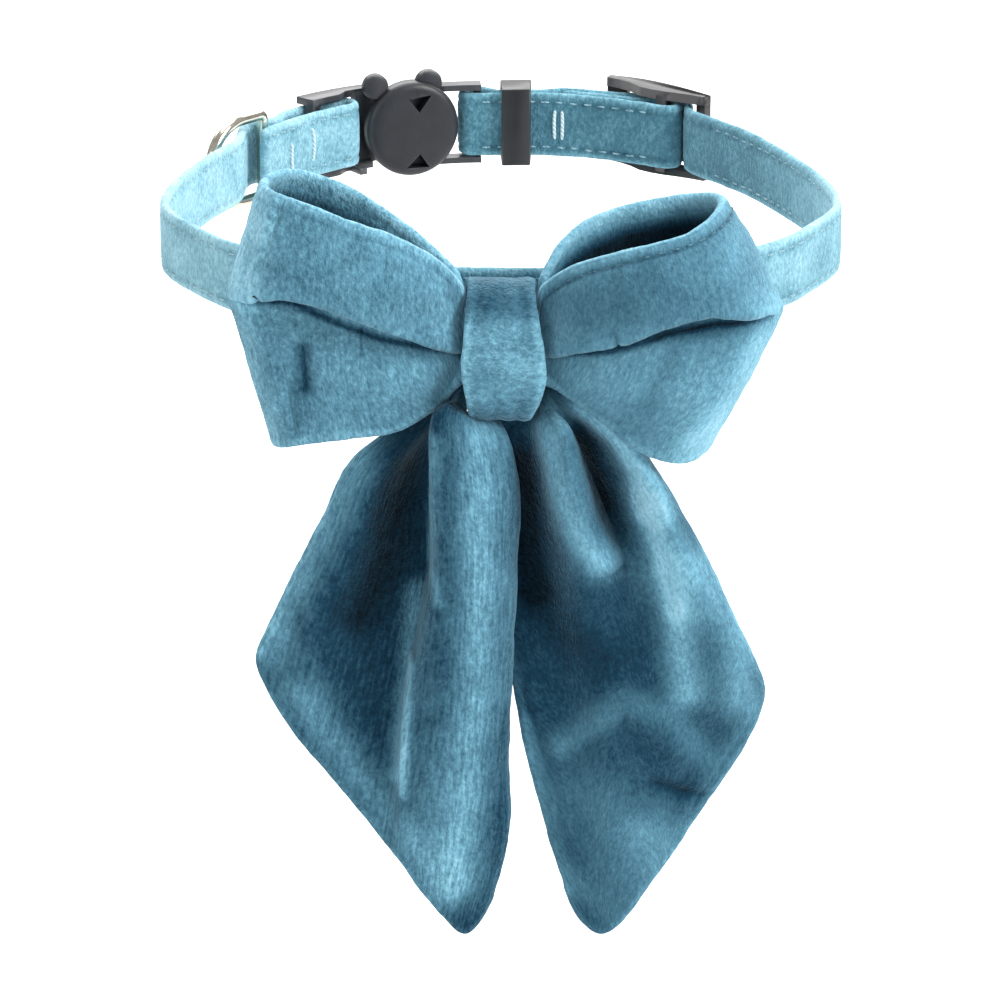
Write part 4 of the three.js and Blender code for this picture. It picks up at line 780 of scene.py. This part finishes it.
# the stitch line is drawn in, with painted shade in the pucker at every stitch's ends
pucker_shade = (0.07 + 0.07 * np.cos(A * 2 * math.pi / 2.35)[:, None] + 0.05 * value_noise(np.stack([A, A * 0, A * 0], -1), 3.1, 9)[:, None]) * gauss(np.abs(Z), 3.5, 0.42)[None, :]
TONES = (t_side[:, None] + edge_highlight[None, :] - pucker_shade, t_other[:, None] + edge_highlight[None, :] - pucker_shade)
UV = np.stack([np.broadcast_to(A[:, None], mid.shape[:2]), np.broadcast_to(Z[None, :], mid.shape[:2])], -1)
strap = closed_sheet("velvet_strap_piece", mid, half, UV, TONES, arc=5, nap=nap_of(3, 0.03, 0.035, 0.03))
strap.data.materials.append(velvet_strap)
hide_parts("collar_strap")
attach(strap, "collar")


def strap_thread(a0, length, z, sign, lift=0.03, radius=0.11, m=7):
    a = np.linspace(a0, a0 + length, m)
    p, t, side, _, _ = strap_at(a)
    f = np.linspace(-1, 1, m)
    h = (H_STRAP - 0.16) + lift - (lift + 0.14) * np.abs(f) ** 3
    xy = p + side * (sign * h)[:, None]
    return np.column_stack([xy, np.full(m, z)])


def arc_of(s, lo, hi):
    """arclength where the strip passes station s, searched between two arclengths."""
    sel = (fine_a >= lo) & (fine_a <= hi)
    k = np.argmin(np.abs(fine[sel, 0] - s))
    return fine_a[sel][k]


a_fold1 = arc_of(280.5, 0, 40)
a_main0 = arc_of(256.0, a_fold1, a_fold1 + 60)
a_main1 = arc_of(36.5, a_main0, STRAP_FLAT)
a_fold2 = arc_of(-6.0, a_main1, a_main1 + 60)
a_fold3 = arc_of(27.6, a_fold2 + 10, a_fold2 + 45)
segs = []
rng = np.random.RandomState(7)
for sign, a0, a1 in [(1, 1.5, a_fold1 - 2.2), (1, a_fold1 + 3, a_main1), (-1, a_main0, a_main1), (1, a_main1 + 2, a_fold2 - 3), (1, a_fold2 + 3.5, a_fold3 - 4)]:
    for z in (-3.55, 3.55):
        a = a0 + rng.uniform(0, 0.6)
        while a < a1 - 1.6:
            length = 1.5 + rng.uniform(-0.12, 0.12)
            segs.append(strap_thread(a, length, z + rng.uniform(-0.07, 0.07), sign))
            a += 2.35 + rng.uniform(-0.1, 0.1)
strap_stitches = threads("strap_stitches", segs, 0.14)
strap_stitches.data.materials.append(thread_pale)
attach(strap_stitches, "collar")


def tack(s, lo, hi, sign, z0, z1, bow, offset=0.0, radius=0.22):
    """an upright bar of thread on the strip's face."""
    a = arc_of(s, lo, hi)
    f = np.linspace(-1, 1, 13)
    z = z0 + (z1 - z0) * (f + 1) / 2
    aa = a + offset + bow * (1 - f ** 2)
    p, t, side, _, _ = strap_at(aa)
    h = (H_STRAP + 0.02) + 0.04 - 0.30 * np.abs(f) ** 7
    return np.column_stack([p + side * (sign * h)[:, None], z])


bars = []
# the doubled end at the back, held by two upright bars beside each other
for k, off_a in enumerate((-0.55, 0.55)):
    bars.append(tack(8.9, a_fold2 + 2, a_fold3, 1, -2.4, 2.5, 0.12 if k else -0.12, off_a))
# the fold-back beside the D-ring, on the inner face of the inner layer
bars.append(tack(265.6, 0, a_fold1, 1, -3.3, 1.5, -0.35))
bars.append(tack(270.2, 0, a_fold1, 1, -2.6, 3.0, 0.35))
bar_tacks = threads("bar_tacks", bars, 0.27, 8)
bar_tacks.data.materials.append(thread_tack)
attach(bar_tacks, "collar")

# ---------------------------------------------------------------- bow loops
H_LOOP = 0.6


def loop_shape(table, right):
    t = np.array(table, float)
    # a deeper tuck behind the pleat's lip
    lift = np.interp(np.arange(len(t)), [1.5, 3, 4, 5.5, 6.5, 7.2], [0, 0.5, 0.8, 0.7, 0.2, 0])
    t[:, 4, 2] += lift
    t[:, 3, 1] += np.interp(np.arange(len(t)), [1.5, 3, 4, 5.5, 6.5, 7.2], [0, 0.4, 0.8, 0.7, 0.2, 0])
    grid, uv, ctl = refine(t, 0.5, H_LOOP, least=3)
    return grid, uv, ctl


def soft_limit(t, knee=0.62, room=0.28):
    """tones above the knee are eased towards knee + room."""
    return np.where(t > knee, knee + room * np.tanh((t - knee) / room), np.maximum(t, 0.02))


def edge_distance(uv):
    v = uv[..., 1]
    return np.minimum(v, v[:, -1:] - v)


def build_loop(name, table, strokes_front, base, right, node_name):
    grid, uv, ctl = loop_shape(table, right)
    u, v = ctl[..., 0], ctl[..., 1]
    x, z = grid[..., 0], grid[..., 2]
    front = u < 8.5
    # shallow relief: the dimple, pulls towards the knot, the fold beside the outer edge
    du = np.gradient(grid, axis=0)
    dv = np.gradient(grid, axis=1)
    n = unit(np.cross(du, dv))
    outer = -1.0 if right else 1.0
    n = n * outer                                     # now the cloth's outer face
    reach = np.clip((np.abs(x) - 5.5) / 9, 0, 1)
    pulls = 0.30 * np.sin(v * 2.9 + 0.9 * np.sin(u * 1.7)) * np.exp(-((reach - 0.12) / 0.33) ** 2) * (np.abs(x) > 5.2)
    relief = pulls * np.where(v > 4.4, 1, 0.55)
    for (path, width, depth, where) in (RIGHT_RELIEF if right else LEFT_RELIEF):
        relief = relief + np.where(front == (where == "front"), stroke(x, z, path, width, depth), 0)
    grid = grid + n * relief[..., None]
    d = edge_distance(uv)
    top = uv[..., 1]
    dig = 1.0 if right else 0.45
    half = H_LOOP + 0.12 * gauss(d, 0.5, 0.55) - 0.17 * dig * gauss(top, 1.45, 0.26) + 0.07 * gauss(top, 2.4, 0.6) + 0 * u
    half = np.where((np.abs(x) < 5.4), H_LOOP - 0.05, half)
    # the outer face's tone: base and marks, partly pile and partly painted light and shade, with painted highlights and
    # painted shade in the dimple and below the pleat
    tone = np.full(u.shape, base)
    for path, width, amount in strokes_front:
        tone = tone + np.where(front, stroke(x, z, path, width, amount), 0)
    # the shadowed crease below the pleat's lip
    crease = np.clip((v - 2.98) / 0.22, 0, 1) * np.clip((4.5 - v) / 0.45, 0, 1) * np.interp(u, [1.0, 2.2, 6.3, 7.2], [0, 1, 1, 0])
    tone = tone + (0.05 - tone) * crease
    shade = np.zeros(u.shape)
    for path, width, amount in (CREASE_R if right else CREASE_L):
        shade = np.minimum(shade, stroke(x, z, path, width, amount))
    tone = tone + shade * np.where(front & (v > 4.15), 1, 0)
    # painted highlight along the cloth's edges, and painted shade in the topstitch groove below the front's top edge
    rim_light_and_groove_shade = 0.12 * gauss(d, 0.2, 0.6) - 0.16 * dig * gauss(top, 1.45, 0.3) * np.where(front, 1, 0)
    outer_tone = np.where(front, tone, base - 0.02) + rim_light_and_groove_shade
    # the inner face: pale by the top edge, then painted shade deepening into the loop's opening, with a painted
    # highlight along the edges
    inner_light_and_shade = np.interp(top, [0, 1.0, 2.2, 3.8, 6], [0.86, 0.80, 0.42, 0.03, 0.0] if right else [0.84, 0.80, 0.56, 0.22, 0.04]) + 0.06 * gauss(d, 0.2, 0.6)
    outer_tone, inner_light_and_shade = soft_limit(outer_tone), soft_limit(inner_light_and_shade)
    sides = (inner_light_and_shade, outer_tone) if right else (outer_tone, inner_light_and_shade)
    ob = closed_sheet(name, grid, half, uv, sides, arc=6, nap=nap_of(21 if right else 11, 0.10, 0.09, 0.05))
    ob.data.materials.append(velvet_bow_soft if right else velvet_bow)
    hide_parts(node_name)
    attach(ob, "collar")
    return ob, grid, uv, ctl, n


loop_left, *_ = build_loop("velvet_loop_left", LOOP_LEFT, STROKES_LL, 0.56, False, "bow_loop_left")
loop_right, gr, uvr, ctlr, nr_ = build_loop("velvet_loop_right", LOOP_RIGHT, STROKES_LR, 0.53, True, "bow_loop_right")

# topstitching below the right loop's upper edge, on its outer face
segs = []
along = uvr[:, 0, 0]
u_index = ctlr[:, 0, 0]
row = np.argmin(np.abs(uvr[..., 1] - 1.35), axis=1)
line = gr[np.arange(len(gr)), row]
nline = nr_[np.arange(len(gr)), row]
s_line = np.concatenate([[0], np.cumsum(np.linalg.norm(np.diff(line, axis=0), axis=1))])
s0 = np.interp(2.4, u_index, s_line)
s1 = np.interp(13.3, u_index, s_line)
s = s0
while s < s1:
    q = np.linspace(s, s + 1.25, 7)
    f = np.linspace(-1, 1, 7)
    pt = np.stack([np.interp(q, s_line, line[:, k]) for k in range(3)], -1)
    nn = unit(np.stack([np.interp(q, s_line, nline[:, k]) for k in range(3)], -1))
    segs.append(pt + nn * (H_LOOP - 0.06 - 0.22 * np.abs(f) ** 3)[:, None])
    s += 1.95 + rng.uniform(-0.08, 0.08)
loop_stitches = threads("loop_stitches", segs, 0.13)
loop_stitches.data.materials.append(thread_bow)
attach(loop_stitches, "collar")

# ---------------------------------------------------------------- tails
H_TAIL = 0.55


def build_tail(name, table, strokes, base, right, node_name):
    t = np.array(table, float)
    # the tops tuck right up under the knot
    if right:
        t[0, 3] += [-1.2, 0, 2.3]
        t[1, 3] += [-0.5, 0, 1.2]
        t[5:, 2, 2] += [0.5, 1.2, 1.5]
        t[6:, 3, 2] += [0.6, 1.0]
    else:
        t[8, 3] += [0.8, 0, 2.1]
        t[7, 3] += [0.3, 0, 0.9]
        t[4:7, 2, 2] += [0.3, 0.5, 0.3]
        t[7:, 1, 2] += [-0.8, -1.3]
        t[7:, 2, 2] += [-0.3, -0.4]
    grid, uv, ctl = refine(t, 0.5, H_TAIL, ends_inset=H_TAIL, least=3)
    u, v = ctl[..., 0], ctl[..., 1]
    x, z = grid[..., 0], grid[..., 2]
    n = unit(np.cross(np.gradient(grid, axis=0), np.gradient(grid, axis=1)))
    n = n * np.where(n[..., 1:2].mean() > 0, -1, 1)
    relief = np.zeros(u.shape)
    for path, width, depth in (TAIL_RIGHT_RELIEF if right else TAIL_LEFT_RELIEF):
        relief = relief + stroke(x, z, path, width, depth)
    # small pleats where the tail leaves the knot
    relief = relief + 0.22 * np.sin(u * 4.3 + 1.0) * np.exp(-((v - 3.0) / 1.3) ** 2)
    grid = grid + n * relief[..., None]
    d_side = np.minimum(uv[..., 0], uv[-1, :, 0][None, :] - uv[..., 0])
    d_hem = uv[:, -1, 1][:, None] - uv[..., 1]
    # round the hem's corners: the corner square drawn in to a quarter disc
    R_C = 2.4
    a, b = np.clip(R_C - d_side, 0, R_C), np.clip(R_C - d_hem, 0, R_C)
    tu = unit(np.gradient(grid, axis=0)) * np.where(uv[..., 0] < uv[-1, :, 0][None, :] / 2, 1, -1)[..., None]
    tv = -unit(np.gradient(grid, axis=1))
    grid = grid + tu * (a - a * np.sqrt(1 - b ** 2 / (2 * R_C ** 2)))[..., None] + tv * (b - b * np.sqrt(1 - a ** 2 / (2 * R_C ** 2)))[..., None]
    d = np.minimum(d_side, d_hem)
    half = H_TAIL + 0.08 * gauss(d, 0.9, 0.8) - 0.10 * gauss(d, 2.2, 0.45)
    # marks partly of pile and partly painted light and shade: painted highlights on fold ridges, painted shade in
    # recesses
    tone = np.full(u.shape, base)
    for path, width, amount in strokes:
        tone = tone + stroke(x, z, path, width, amount)
    # a painted highlight along the sides and the hem
    tone = soft_limit(tone + 0.12 * gauss(d, 0.0, 0.5))
    ob = closed_sheet(name, grid, half, uv, (tone, tone), arc=6, nap=nap_of(41 if right else 31, 0.12, 0.07, 0.045))
    ob.data.materials.append(velvet_tail_plain if right else velvet_tail)
    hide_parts(node_name)
    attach(ob, "collar")
    return ob


tail_left = build_tail("velvet_tail_left", TAIL_LEFT, STROKES_TL, 0.19, False, "tail_left")
tail_right = build_tail("velvet_tail_right", TAIL_RIGHT, STROKES_TR, 0.22, True, "tail_right")

# ---------------------------------------------------------------- knot band
KNOT = np.array([
    [-50.0, -3.5, 5.0, 0.1], [-50.0, 0.2, 5.0, 0.1], [-50.6, 3.0, 4.8, 0.1], [-52.8, 4.6, 4.7, 0.1], [-55.6, 4.95, 4.6, 0.1], [-57.9, 3.95, 4.6, 0.1],
    [-59.4, 1.6, 4.9, 0.15], [-59.9, -1.4, 5.3, 0.3], [-60.1, -4.6, 5.7, 0.4], [-60.0, -7.6, 5.6, 0.5], [-59.4, -10.4, 5.0, 0.3], [-58.0, -12.7, 4.35, 0.05],
    [-55.4, -13.5, 4.0, 0.0], [-52.4, -13.2, 3.8, 0.1], [-50.5, -11.6, 4.4, 0.1], [-50.0, -8.0, 5.0, 0.1],
])
H_KNOT = 0.52
kt = np.arange(0, len(KNOT), 1 / 12)
kq = spline_at(KNOT, kt, closed=True)
W = np.linspace(-1, 1, 27)
width = kq[:, 2:3] - H_KNOT
kx = kq[:, 3:4] + W[None, :] * width
kmid = np.stack([kx, np.broadcast_to(kq[:, 0:1], kx.shape), np.broadcast_to(kq[:, 1:2], kx.shape)], -1)
nk = unit(np.cross(np.roll(kmid, -1, 0) - np.roll(kmid, 1, 0), np.gradient(kmid, axis=1)))
if (nk[np.argmin(kq[:, 0])][:, 1]).mean() > 0:
    nk = -nk
front_k = np.clip((-57.0 - kmid[..., 1]) / 2.0, 0, 1)
crown = 0.35 * (1 - W[None, :] ** 2) * front_k
gather = 0.16 * np.sin(W[None, :] * 9.0 + 1.3 * np.sin(kt[:, None] * 0.9)) * (0.4 + 0.6 * gauss(kmid[..., 2], -11.5, 4) + 0.5 * gauss(kmid[..., 2], 4, 2.5)) * (front_k + 0.2)
kmid = kmid + nk * (crown * 0.6 + gather)[..., None]
k_arc = np.concatenate([[0], np.cumsum(np.linalg.norm(np.diff(kq[:, :2], axis=0), axis=1))])
k_uv = np.stack([np.broadcast_to(k_arc[:, None], kx.shape), kx], -1)
k_half = H_KNOT + 0.06 * gauss(np.abs(W), 0.84, 0.12)[None, :] + 0 * kx
kz, kyy = kmid[..., 2], kmid[..., 1]
# painted light and shade on the knot band: paler in the middle, darker towards the top, painted shade at the bottom
# where it meets the tails, painted highlights along its two edges
k_light_and_shade = 0.55 + 0.09 * gauss(kz, -4, 4) - 0.24 * np.clip((kz - 0.4) / 2.5, 0, 1) - 0.18 * np.clip((-9.5 - kz) / 3.5, 0, 1) + 0.14 * gauss(np.abs(W), 1.0, 0.13)[None, :]
knot = closed_sheet("velvet_knot_piece", kmid, k_half, k_uv, (k_light_and_shade, k_light_and_shade), wrap=True, arc=5, nap=nap_of(51, 0.08, 0.08, 0.05))
knot.data.materials.append(velvet_knot)
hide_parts("knot_band")
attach(knot, "collar")

# ---------------------------------------------------------------- moulded plastic hardware
def block(s0, s1, low, high, steps):
    f = np.linspace(0, 1, steps + 1)
    s = s0 + (s1 - s0) * f
    lo = np.array([low(k) for k in f]) if callable(low) else np.full(len(f), float(low))
    hi = np.array([high(k) for k in f]) if callable(high) else np.full(len(f), float(high))
    return np.vstack([sn(s, lo), sn(s, hi)[::-1]])


def prism_object(poly, z0, z1):
    n = len(poly)
    verts = [(p[0], p[1], z0) for p in poly] + [(p[0], p[1], z1) for p in poly]
    faces = [tuple(range(n))[::-1], tuple(range(n, 2 * n))] + [(k, (k + 1) % n, n + (k + 1) % n, n + k) for k in range(n)]
    return solid_object(verts, faces)


def solid_object(verts, faces):
    me = bpy.data.meshes.new("part")
    me.from_pydata([tuple(c * MM for c in v) for v in verts], [], faces)
    ob = bpy.data.objects.new("part", me)
    scene.collection.objects.link(ob)
    bm = bmesh.new()
    bm.from_mesh(me)
    bmesh.ops.recalc_face_normals(bm, faces=bm.faces)
    bm.to_mesh(me)
    bm.free()
    return ob


def apply_all(ob):
    dg = bpy.context.evaluated_depsgraph_get()
    me = bpy.data.meshes.new_from_object(ob.evaluated_get(dg))
    ob.modifiers.clear()
    old = ob.data
    ob.data = me
    bpy.data.meshes.remove(old)


def combine(base, others, op):
    for o in others:
        m = base.modifiers.new("b", "BOOLEAN")
        m.operation = op
        m.solver = "EXACT"
        m.object = o
        apply_all(base)
        bpy.data.objects.remove(o)
    return base


def finish_hard(ob, name, material, nodes, body="collar", bevel=0.22, segments=3, angle=32, dissolve=True):
    bm = bmesh.new()
    bm.from_mesh(ob.data)
    bmesh.ops.remove_doubles(bm, verts=bm.verts, dist=2e-6)
    if dissolve:
        bmesh.ops.dissolve_limit(bm, angle_limit=math.radians(1.0), verts=bm.verts, edges=bm.edges)
    bm.to_mesh(ob.data)
    bm.free()
    ob.name = name
    ob.data.name = name
    if bevel:
        m = ob.modifiers.new("bevel", "BEVEL")
        m.width = bevel * MM
        m.segments = segments
        m.limit_method = "ANGLE"
        m.angle_limit = math.radians(angle)
        m.use_clamp_overlap = True
        m.harden_normals = True
        apply_all(ob)
    ob.data.polygons.foreach_set("use_smooth", [True] * len(ob.data.polygons))
    if not bevel:
        ob.data.set_sharp_from_angle(angle=math.radians(34))
    ob.data.materials.clear()
    ob.data.materials.append(material)
    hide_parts(*nodes)
    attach(ob, body)
    return ob


DISC_S = 289.2
dt, dn = ring_dirs(DISC_S)
dp = ring_at(DISC_S)


def clasp_point(a, n, z):
    return (dp[0] + dt[0] * a + dn[0] * n, dp[1] + dt[1] * a + dn[1] * n, z)


def clasp_round(a, z, radii, ns, seg):
    """a turned piece about the clasp's n axis: radii at depths ns."""
    verts, faces = [], []
    for r, n in zip(radii, ns):
        for k in range(seg):
            w = 2 * math.pi * k / seg
            verts.append(clasp_point(a + r * math.cos(w), n, z + r * math.sin(w)))
    for i in range(len(radii) - 1):
        for k in range(seg):
            k2 = (k + 1) % seg
            faces.append((i * seg + k, i * seg + k2, (i + 1) * seg + k2, (i + 1) * seg + k))
    faces.append(tuple(range(seg)))
    faces.append(tuple((len(radii) - 1) * seg + k for k in range(seg)))
    return solid_object(verts, faces)


def clasp_prism(outline, n0, n1):
    m = len(outline)
    verts = [clasp_point(a, n0, z) for a, z in outline] + [clasp_point(a, n1, z) for a, z in outline]
    faces = [tuple(range(m)), tuple(range(m, 2 * m))] + [(k, (k + 1) % m, m + (k + 1) % m, m + k) for k in range(m)]
    return solid_object(verts, faces)


R = 7.4
# the disc has a softly domed face towards the neck and a rounded rim
disc = clasp_round(0, 0, [0.3, 1.2, 2.2, 3.2, 4.2, 5.2, 5.9, 6.35, 6.7, 7.0, 7.22, 7.34, R, R, R - 0.12, R - 0.4], [-1.9, -1.898, -1.893, -1.885, -1.87, -1.84, -1.80, -1.74, -1.65, -1.5, -1.3, -1.08, -0.85, 0.85, 1.15, 1.3], 96)
ears = [
    clasp_round(-5.7, 6.9, [1.35, 1.8, 2.0, 2.0, 1.8, 1.35], [-0.8, -0.62, -0.3, 0.75, 1.05, 1.2], 40),
    clasp_round(2.9, 6.8, [1.45, 1.9, 2.1, 2.1, 1.9, 1.45], [-0.8, -0.62, -0.3, 0.75, 1.05, 1.2], 40),
]
combine(disc, ears, "UNION")
combine(disc, [clasp_prism([(-0.9, 4.9), (2.8, 5.3), (0.8, 2.7)], -2.4, 0.2), clasp_prism([(-1.3, -6.0), (2.4, -6.1), (0.9, -3.9)], -2.4, 0.2)], "DIFFERENCE")
rails = [prism_object(block(292.4, 300.3, -0.1, 2.6, 10), a, b) for a, b in ((5.3, 6.2), (-6.2, -5.3))]
rails.append(prism_object(block(299.2, 300.3, 1.2, 2.6, 2), -6.0, 6.0))
combine(disc, rails, "UNION")
clasp_disc = finish_hard(disc, "clasp_disc_moulded", clasp_plastic, ["clasp_disc"], bevel=0, dissolve=False)

plate = prism_object(block(281.6, 294.0, 3.1, 4.7, 8), -5.6, 5.6)
more = [prism_object(block(272.4, 284.0, (lambda f: float(np.interp(f, [0, 0.45, 0.62, 1], [1.1, 1.1, 2.4, 2.4]))), 4.7, 18), a, b) for a, b in ((5.3, 6.4), (-6.4, -5.3))]
more.append(prism_object(block(272.4, 274.0, 1.15, 2.65, 2), -6.0, 6.0))
more.append(prism_object(block(280.2, 281.4, -0.6, 3.0, 2), -6.4, -5.4))
combine(plate, more, "UNION")
clasp_frame = finish_hard(plate, "clasp_frame_moulded", clasp_plastic, ["clasp_frame"], bevel=0.3)

keeper = prism_object(block(-0.2, 4.4, -2.3, 4.2, 2), -6.2, 5.95)
combine(keeper, [prism_object(block(-2, 6.2, -1.2, 3.1, 6), -5.3, 5.3)], "DIFFERENCE")
keeper = finish_hard(keeper, "keeper_moulded", keeper_plastic, ["keeper_loop"], bevel=0.3, segments=4)

LOW = [5.1, 4.4, 3.3, 1.9, 1.5, 1.6, 2.0, 2.4, 2.7]
HIGH = [6.7, 6.7, 6.6, 6.3, 5.9, 5.5, 5.0, 4.6, 4.2]
low = lambda f: float(np.interp(f * 8, range(9), LOW))
high = lambda f: float(np.interp(f * 8, range(9), HIGH))
slider = prism_object(block(14.6, 32.3, low, high, 24), 5.4, 6.8)
more = [prism_object(block(14.6, 32.3, low, high, 24), -6.4, -5.4)]
more.append(prism_object(block(14.6, 17.4, 5.3, 6.75, 2), -6.0, 6.0))
more.append(prism_object(block(24.3, 26.0, 1.5, 2.8, 2), -6.0, 6.0))
more.append(prism_object(block(30.9, 32.3, 2.9, 4.2, 2), -6.0, 6.0))
more.append(prism_object(block(30.3, 31.4, 3.4, 4.25, 2), -6.0, 6.0))
combine(slider, more, "UNION")
slider = finish_hard(slider, "slider_moulded", slider_plastic, ["slider"], bevel=0.3, segments=4)

# ---------------------------------------------------------------- D-ring, bent from round wire
D_HALF, D_REACH, WIRE_R, CORNER = 6.4, 11.8, 0.9, 1.0
dc = sn(261.8, 2.05)
d_t, d_n = ring_dirs(261.8)
ang = math.radians(5)
d_dir = -d_t * math.cos(ang) + d_n * math.sin(ang)
outline = []
for k in range(13):
    outline.append((0, -D_HALF + CORNER + (2 * D_HALF - 2 * CORNER) * k / 12))
for k in range(1, 9):
    w = math.pi - k * math.pi / 16
    outline.append((CORNER + CORNER * math.cos(w), D_HALF - CORNER + CORNER * math.sin(w)))
outline += [(x, D_HALF) for x in np.linspace(1.8, 4.3, 5)]
for k in range(0, 49):
    w = math.pi / 2 - k * math.pi / 48
    outline.append((4.6 + (D_REACH - 4.6) * math.cos(w), D_HALF * math.sin(w)))
outline += [(x, -D_HALF) for x in np.linspace(4.3, 1.8, 5)]
for k in range(0, 8):
    w = -math.pi / 2 - k * math.pi / 16
    outline.append((CORNER + CORNER * math.cos(w), -D_HALF + CORNER + CORNER * math.sin(w)))
outline = np.array(outline)
seg = 20
tan = unit(np.roll(outline, -1, 0) - np.roll(outline, 1, 0))
nor = np.stack([tan[:, 1], -tan[:, 0]], -1)
verts, faces = [], []
for i in range(len(outline)):
    for k in range(seg):
        w = 2 * math.pi * k / seg
        r = outline[i] + nor[i] * WIRE_R * math.cos(w)
        sd = WIRE_R * math.sin(w)
        verts.append((dc[0] + d_dir[0] * r[0] - d_dir[1] * sd, dc[1] + d_dir[1] * r[0] + d_dir[0] * sd, r[1]))
for i in range(len(outline)):
    i2 = (i + 1) % len(outline)
    for k in range(seg):
        k2 = (k + 1) % seg
        faces.append((i * seg + k, i2 * seg + k, i2 * seg + k2, i * seg + k2))
d_ring = make_object("d_ring_wire", np.array(verts), outward(np.array(verts), np.array(faces)))
d_ring.data.materials.append(ring_metal)
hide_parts("d_ring")
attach(d_ring, "ring")

# ---------------------------------------------------------------- floor and light
me = bpy.data.meshes.new("floor")
me.from_pydata([(-6, -6, -0.22), (6, -6, -0.22), (6, 6, -0.22), (-6, 6, -0.22)], [], [(0, 1, 2, 3)])
floor = bpy.data.objects.new("floor", me)
scene.collection.objects.link(floor)
fm, fnt, fb = new_material("floor")
fb.inputs["Base Color"].default_value = (0.72, 0.72, 0.72, 1)
fb.inputs["Roughness"].default_value = 0.9
fb.inputs["Emission Color"].default_value = (1, 1, 1, 1)
# a little glow that grows away from the object keeps the far floor pale without lighting the object from below
tc = node(fnt, "ShaderNodeTexCoord")
far = node(fnt, "ShaderNodeVectorMath", operation="LENGTH")
fnt.links.new(tc.outputs["Object"], far.inputs[0])
glow = node(fnt, "ShaderNodeMapRange", interpolation_type="SMOOTHSTEP")
glow.inputs["From Min"].default_value = 0.35
glow.inputs["From Max"].default_value = 1.6
glow.inputs["To Min"].default_value = 0.1
glow.inputs["To Max"].default_value = 0.8
fnt.links.new(far.outputs["Value"], glow.inputs["Value"])
fnt.links.new(glow.outputs["Result"], fb.inputs["Emission Strength"])
floor.data.materials.append(fm)

world = bpy.data.worlds.new("studio")
scene.world = world
world.use_nodes = True
world.node_tree.nodes["Background"].inputs[0].default_value = (1, 1, 1, 1)
world.node_tree.nodes["Background"].inputs[1].default_value = WORLD


def softbox(name, loc, target, size, power, color=(1, 1, 1)):
    ld = bpy.data.lights.new(name, "AREA")
    ld.shape = "RECTANGLE"
    ld.size, ld.size_y = size
    ld.energy = power
    ld.color = color
    ob = bpy.data.objects.new(name, ld)
    scene.collection.objects.link(ob)
    ob.location = loc
    ob.rotation_euler = (Vector(target) - Vector(loc)).to_track_quat("-Z", "Y").to_euler()
    return ob


softbox("key", (1.0, -0.55, 0.62), (0, 0, -0.02), (0.5, 0.5), KEY)
softbox("fill", (-0.8, -0.85, 0.35), (0, 0, -0.02), (0.6, 0.6), FILL)
softbox("top", (0.1, 0.1, 0.9), (0, 0, 0), (0.7, 0.6), TOP)
# lights the floor behind the object, so that it reads as white
behind = softbox("floor_light", (0, 0.68, 0.36), (0, 0.68, -1), (0.9, 0.9), BACK)
behind.visible_camera = False

scene.view_settings.view_transform = "Standard"
scene.view_settings.look = "None"
